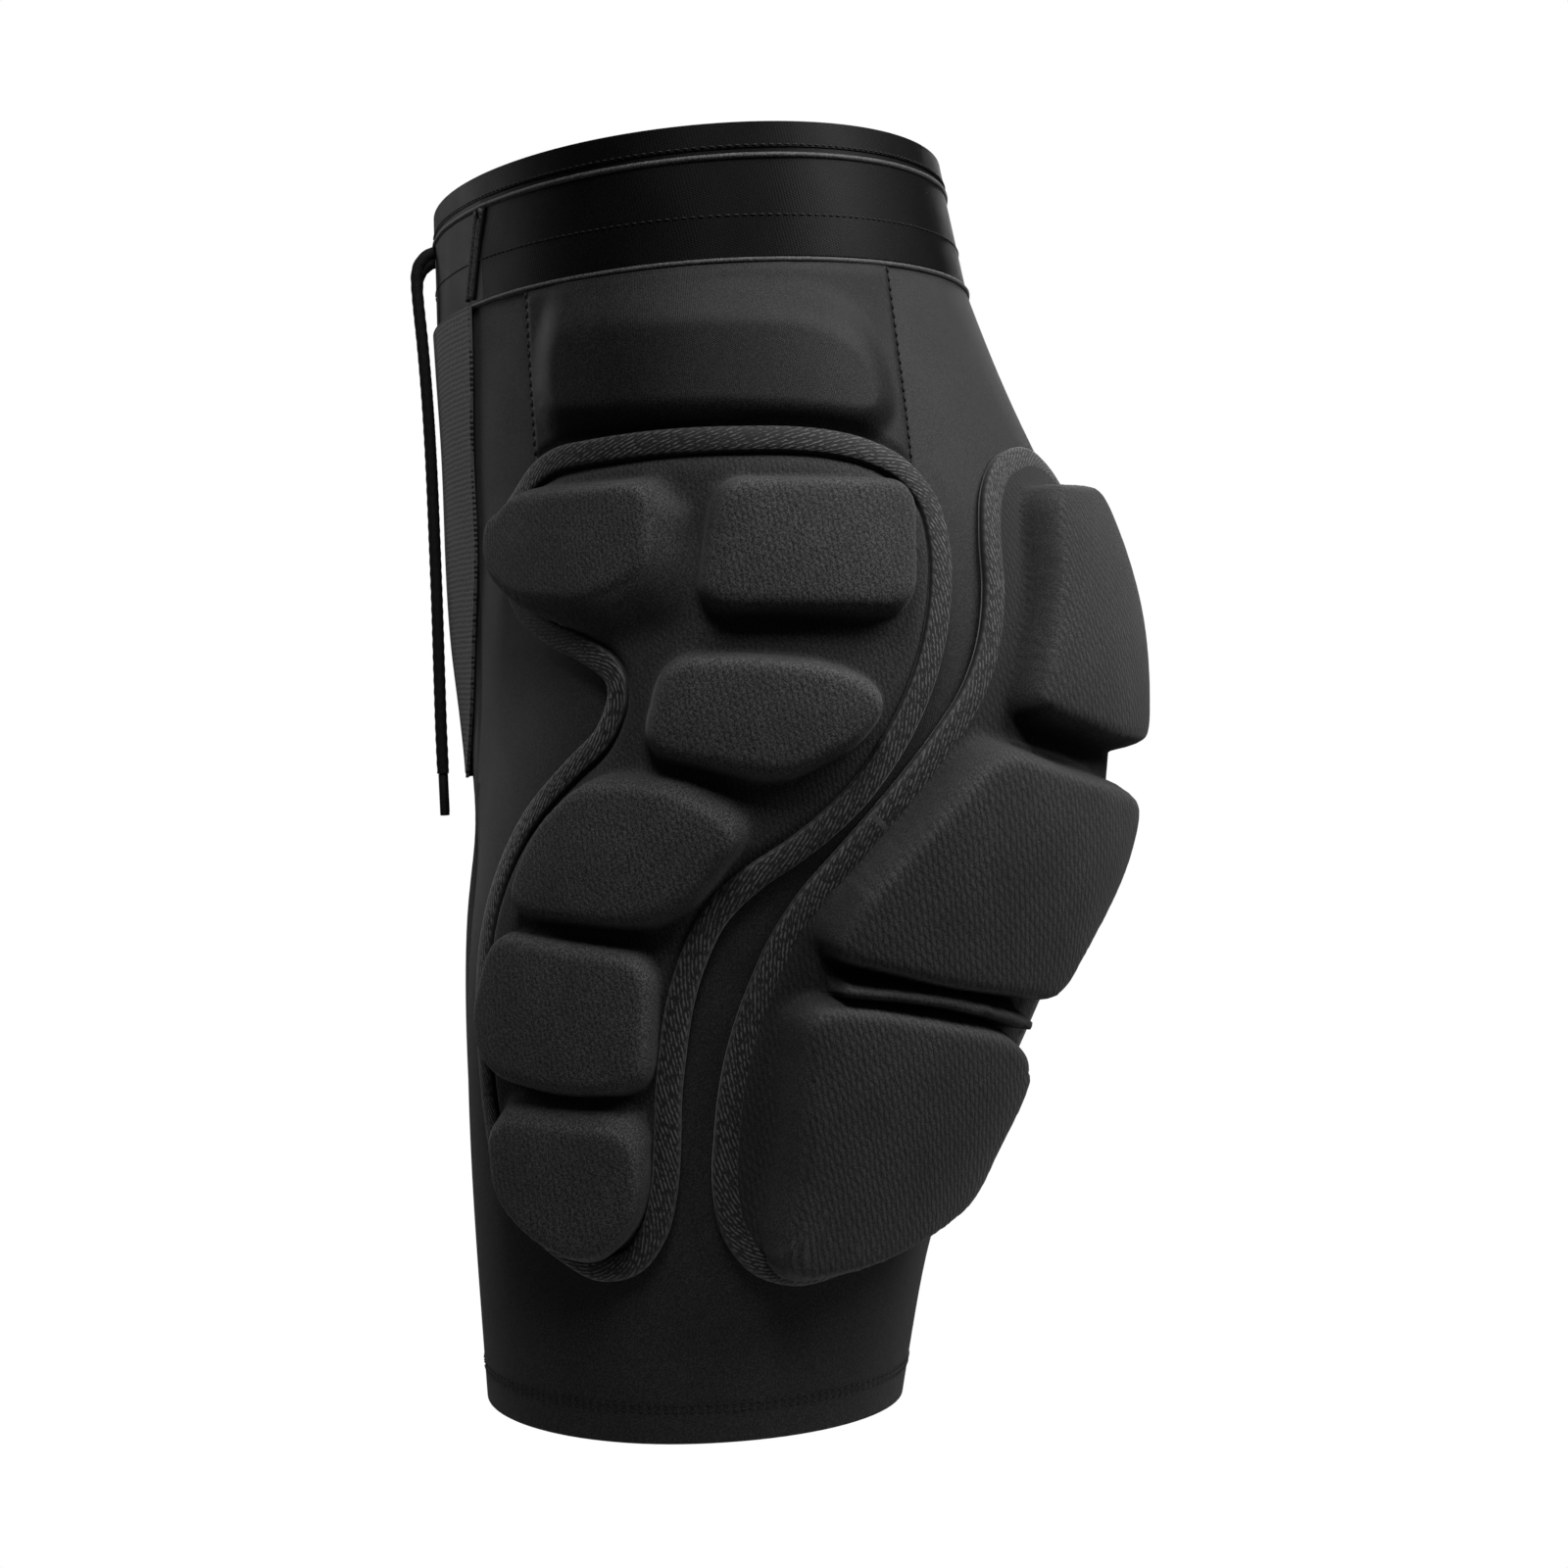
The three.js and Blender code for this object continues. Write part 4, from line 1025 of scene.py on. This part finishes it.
side_turns = np.degrees(np.arctan2(skin[:, -8, 0], -skin[:, -8, 1]))
foot_at = np.interp(np.radians(side_turns) % (2 * math.pi), TURNS, band_foot)
share = np.linspace(0, 1, UPPER_COLUMNS)
top_bearings = UPPER_SEAMS[0][0] + (UPPER_SEAMS[1][0] - UPPER_SEAMS[0][0]) * share
foot_bearings = UPPER_SEAMS[0][1] + (UPPER_SEAMS[1][1] - UPPER_SEAMS[0][1]) * share
panel_tops = np.interp(top_bearings, BEARINGS, foot_at) - 0.0016
hip_bearings, hip_heights = pattern_of(tapes[0][1])
upper_half = hip_heights > -0.14
by_bearing = np.argsort(hip_bearings[upper_half])
panel_feet = np.interp(
    foot_bearings, hip_bearings[upper_half][by_bearing], hip_heights[upper_half][by_bearing],
) - 0.004
fall = np.linspace(0, 1, UPPER_ROWS)[:, None]
across = top_bearings + (foot_bearings - top_bearings) * fall
down = panel_tops + (panel_feet - panel_tops) * fall
flat = flat_of(across.ravel(), down.ravel())
depth, out = inside(flat, rounded(UPPER_BLOCK, 0.016))
wall = UPPER_WALL * (1 + 0.9 * towards(out, 60)) * (1 + 1.3 * towards(out, 180)) * (1 - 0.5 * towards(out, -90))
raised = UPPER_RISE * smoothstep((depth + wall) / (wall + 0.008))
from_seam = np.minimum(share, 1 - share) * UPPER_WIDTH
over_tape = smoothstep((down - panel_feet - 0.005) / 0.003)
below_band = smoothstep((panel_tops - down) / 0.004)
lift = (0.0002 + 0.0009 * smoothstep(from_seam / 0.004) * over_tape * below_band).ravel() + raised
top, _ = on_body(across.ravel(), down.ravel(), lift)
wide = UPPER_COLUMNS
faces = [
    (r * wide + k, r * wide + k + 1, (r + 1) * wide + k + 1, (r + 1) * wide + k)
    for r in range(UPPER_ROWS - 1) for k in range(wide - 1)
]
upper = mesh_object("upper_pad_left_panel", top, faces)
give_uv(upper, flat)
bpy.ops.object.select_all(action="DESELECT")
upper.select_set(True)
bpy.context.view_layer.objects.active = upper
thick = upper.modifiers.new("thickness", "SOLIDIFY")
thick.thickness = UPPER_CLOTH
bpy.ops.object.modifier_apply(modifier=thick.name)
faced_out(upper)
# Painted shade: the panel is the shell's own cloth, given a darker colour than the shell's (0.0015 to 0.014
# against 0.003 to 0.021), which dims its slopes that face up into the light.
upper.data.materials.append(knit(
    "upper pad cloth with painted shade", 0.0015, 0.014, 0.0007, 0.00008, ribbing=0.15, roughness=0.5, specular=0.14, sheen=0.02,
))
right = other_side(upper, "upper_pad_right_panel")
for piece, side in ((upper, "left"), (right, "right")):
    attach(piece, "root")
    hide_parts(f"upper_pad_{side}")
for number, (head, foot) in enumerate(UPPER_SEAMS, 1):
    tall = np.linspace(0.01, 1, 60)
    start = float(np.interp(head, BEARINGS, foot_at))
    foot_height = float(np.interp(foot, foot_bearings, panel_feet)) + 0.004
    bearings, heights = head + (foot - head) * tall, start + (foot_height - start) * tall
    points, normals = on_body(bearings, heights, 0.0007)
    for side in ("left", "right"):
        mirror = (1, 1, 1) if side == "left" else (-1, 1, 1)
        stitched(f"upper_pad_stitch_{side}_{number}", points * mirror, normals * mirror, 0.0034, 0.0024, 0.0009)

# Front mesh. A rough open knit runs down the front, laid over the cloth and sewn along both of its sides. Its
# holes are a pattern along and across the cloth, and aren't cut through.
HOLE_PITCH = 0.0019
FRONT_REACH = 0.098  # metres of cloth that a radian round the front is worth
front = solid_copy("front_mesh", "front_mesh_knit", crease=math.radians(50))
places = np.array([v.co for v in front.data.vertices])
give_uv(front, np.stack([np.arctan2(places[:, 0], -places[:, 1]) * FRONT_REACH, places[:, 2]], axis=1))
netting, shade = new_material("open mesh knit")
u, v = cloth_uv(shade)
place = shade.node("ShaderNodeTexCoord", out=3)
waver = shade.node("ShaderNodeTexNoise", None, {"Vector": place, "Scale": 260.0, "Detail": 2.0})
yarn = shade.node("ShaderNodeTexNoise", None, {"Vector": place, "Scale": 1500.0, "Detail": 2.0})
bars = abs((u * (math.pi / HOLE_PITCH) + waver * 2.5).sine())
rungs = abs((v * (math.pi / HOLE_PITCH) + waver * 2.5).sine())
open_part = (bars * rungs).clamped(0.35, 0.8)
set_finish(
    netting,
    Base_Color=grey_between(shade, (1 - open_part) * (yarn * 0.8 + 0.4), 0.004, 0.07),
    Roughness=0.75,
    Specular_IOR_Level=0.3,
    Sheen_Weight=0.1,
    Normal=bumped(shade, (1 - open_part) + yarn * 0.3, 0.0005),
)
front.data.materials.append(netting)
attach(front, "root")
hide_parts("front_mesh")

# Studio. The garment is held up, so the floor lies well under it: a pale disc that fades out into the pale
# surround. A soft box high behind the garment is the main light, with one above its near side and weak ones in
# front and on its far side.
FLOOR = -0.75
FLOOR_RADIUS = 1.1
AMBIENT = 0.05

bpy.ops.object.select_all(action="DESELECT")
bpy.ops.mesh.primitive_circle_add(vertices=96, radius=FLOOR_RADIUS, fill_type="NGON", location=(0, 0, FLOOR))
floor = bpy.context.object
floor.name = "studio_floor"
bpy.ops.object.transform_apply(location=True, rotation=True, scale=True)
pale, shade = new_material("pale floor")
place = shade.node("ShaderNodeTexCoord", out=3)
flat_place = shade.node("ShaderNodeVectorMath", {"operation": "MULTIPLY"}, {0: place, 1: (1, 1, 0)})
from_middle = shade.node("ShaderNodeVectorMath", {"operation": "LENGTH"}, {0: flat_place}, out=1)
set_finish(
    pale,
    Base_Color=(0.9, 0.9, 0.9, 1),
    Roughness=0.95,
    Alpha=1 - from_middle.clamped(0.25, 0.62),
)
floor.data.materials.append(pale)

world = bpy.data.worlds.new("pale surround")
world.use_nodes = True
tree = world.node_tree
seen = tree.nodes["Background"]
seen.inputs["Color"].default_value = (1, 1, 1, 1)
seen.inputs["Strength"].default_value = 1.0
dim = tree.nodes.new("ShaderNodeBackground")
dim.inputs["Color"].default_value = (1, 1, 1, 1)
dim.inputs["Strength"].default_value = AMBIENT
mixed = tree.nodes.new("ShaderNodeMixShader")
path = tree.nodes.new("ShaderNodeLightPath")
tree.links.new(path.outputs["Is Camera Ray"], mixed.inputs["Fac"])
tree.links.new(dim.outputs[0], mixed.inputs[1])
tree.links.new(seen.outputs[0], mixed.inputs[2])
tree.links.new(mixed.outputs[0], tree.nodes["World Output"].inputs["Surface"])
bpy.context.scene.world = world
bpy.context.scene.view_settings.view_transform = "Standard"


def soft_box(name, location, target, size, power):
    bpy.ops.object.light_add(type="AREA", location=location)
    light = bpy.context.object
    light.name = name
    light.data.shape = "SQUARE"
    light.data.size = size
    light.data.energy = power
    light.rotation_euler = (Vector(location) - Vector(target)).to_track_quat("Z", "Y").to_euler()


soft_box("right_box", (0.40, 1.15, 0.95), (0.08, 0.05, -0.2), 0.9, 35)
soft_box("top_box", (0.80, -0.1, 1.0), (0.1, 0.05, -0.2), 0.5, 18)
soft_box("front_box", (-1.0, -1.1, 0.3), (0, 0, -0.2), 0.8, 3)
soft_box("far_box", (-1.3, 0.3, 0.4), (0, 0, -0.2), 0.8, 10)
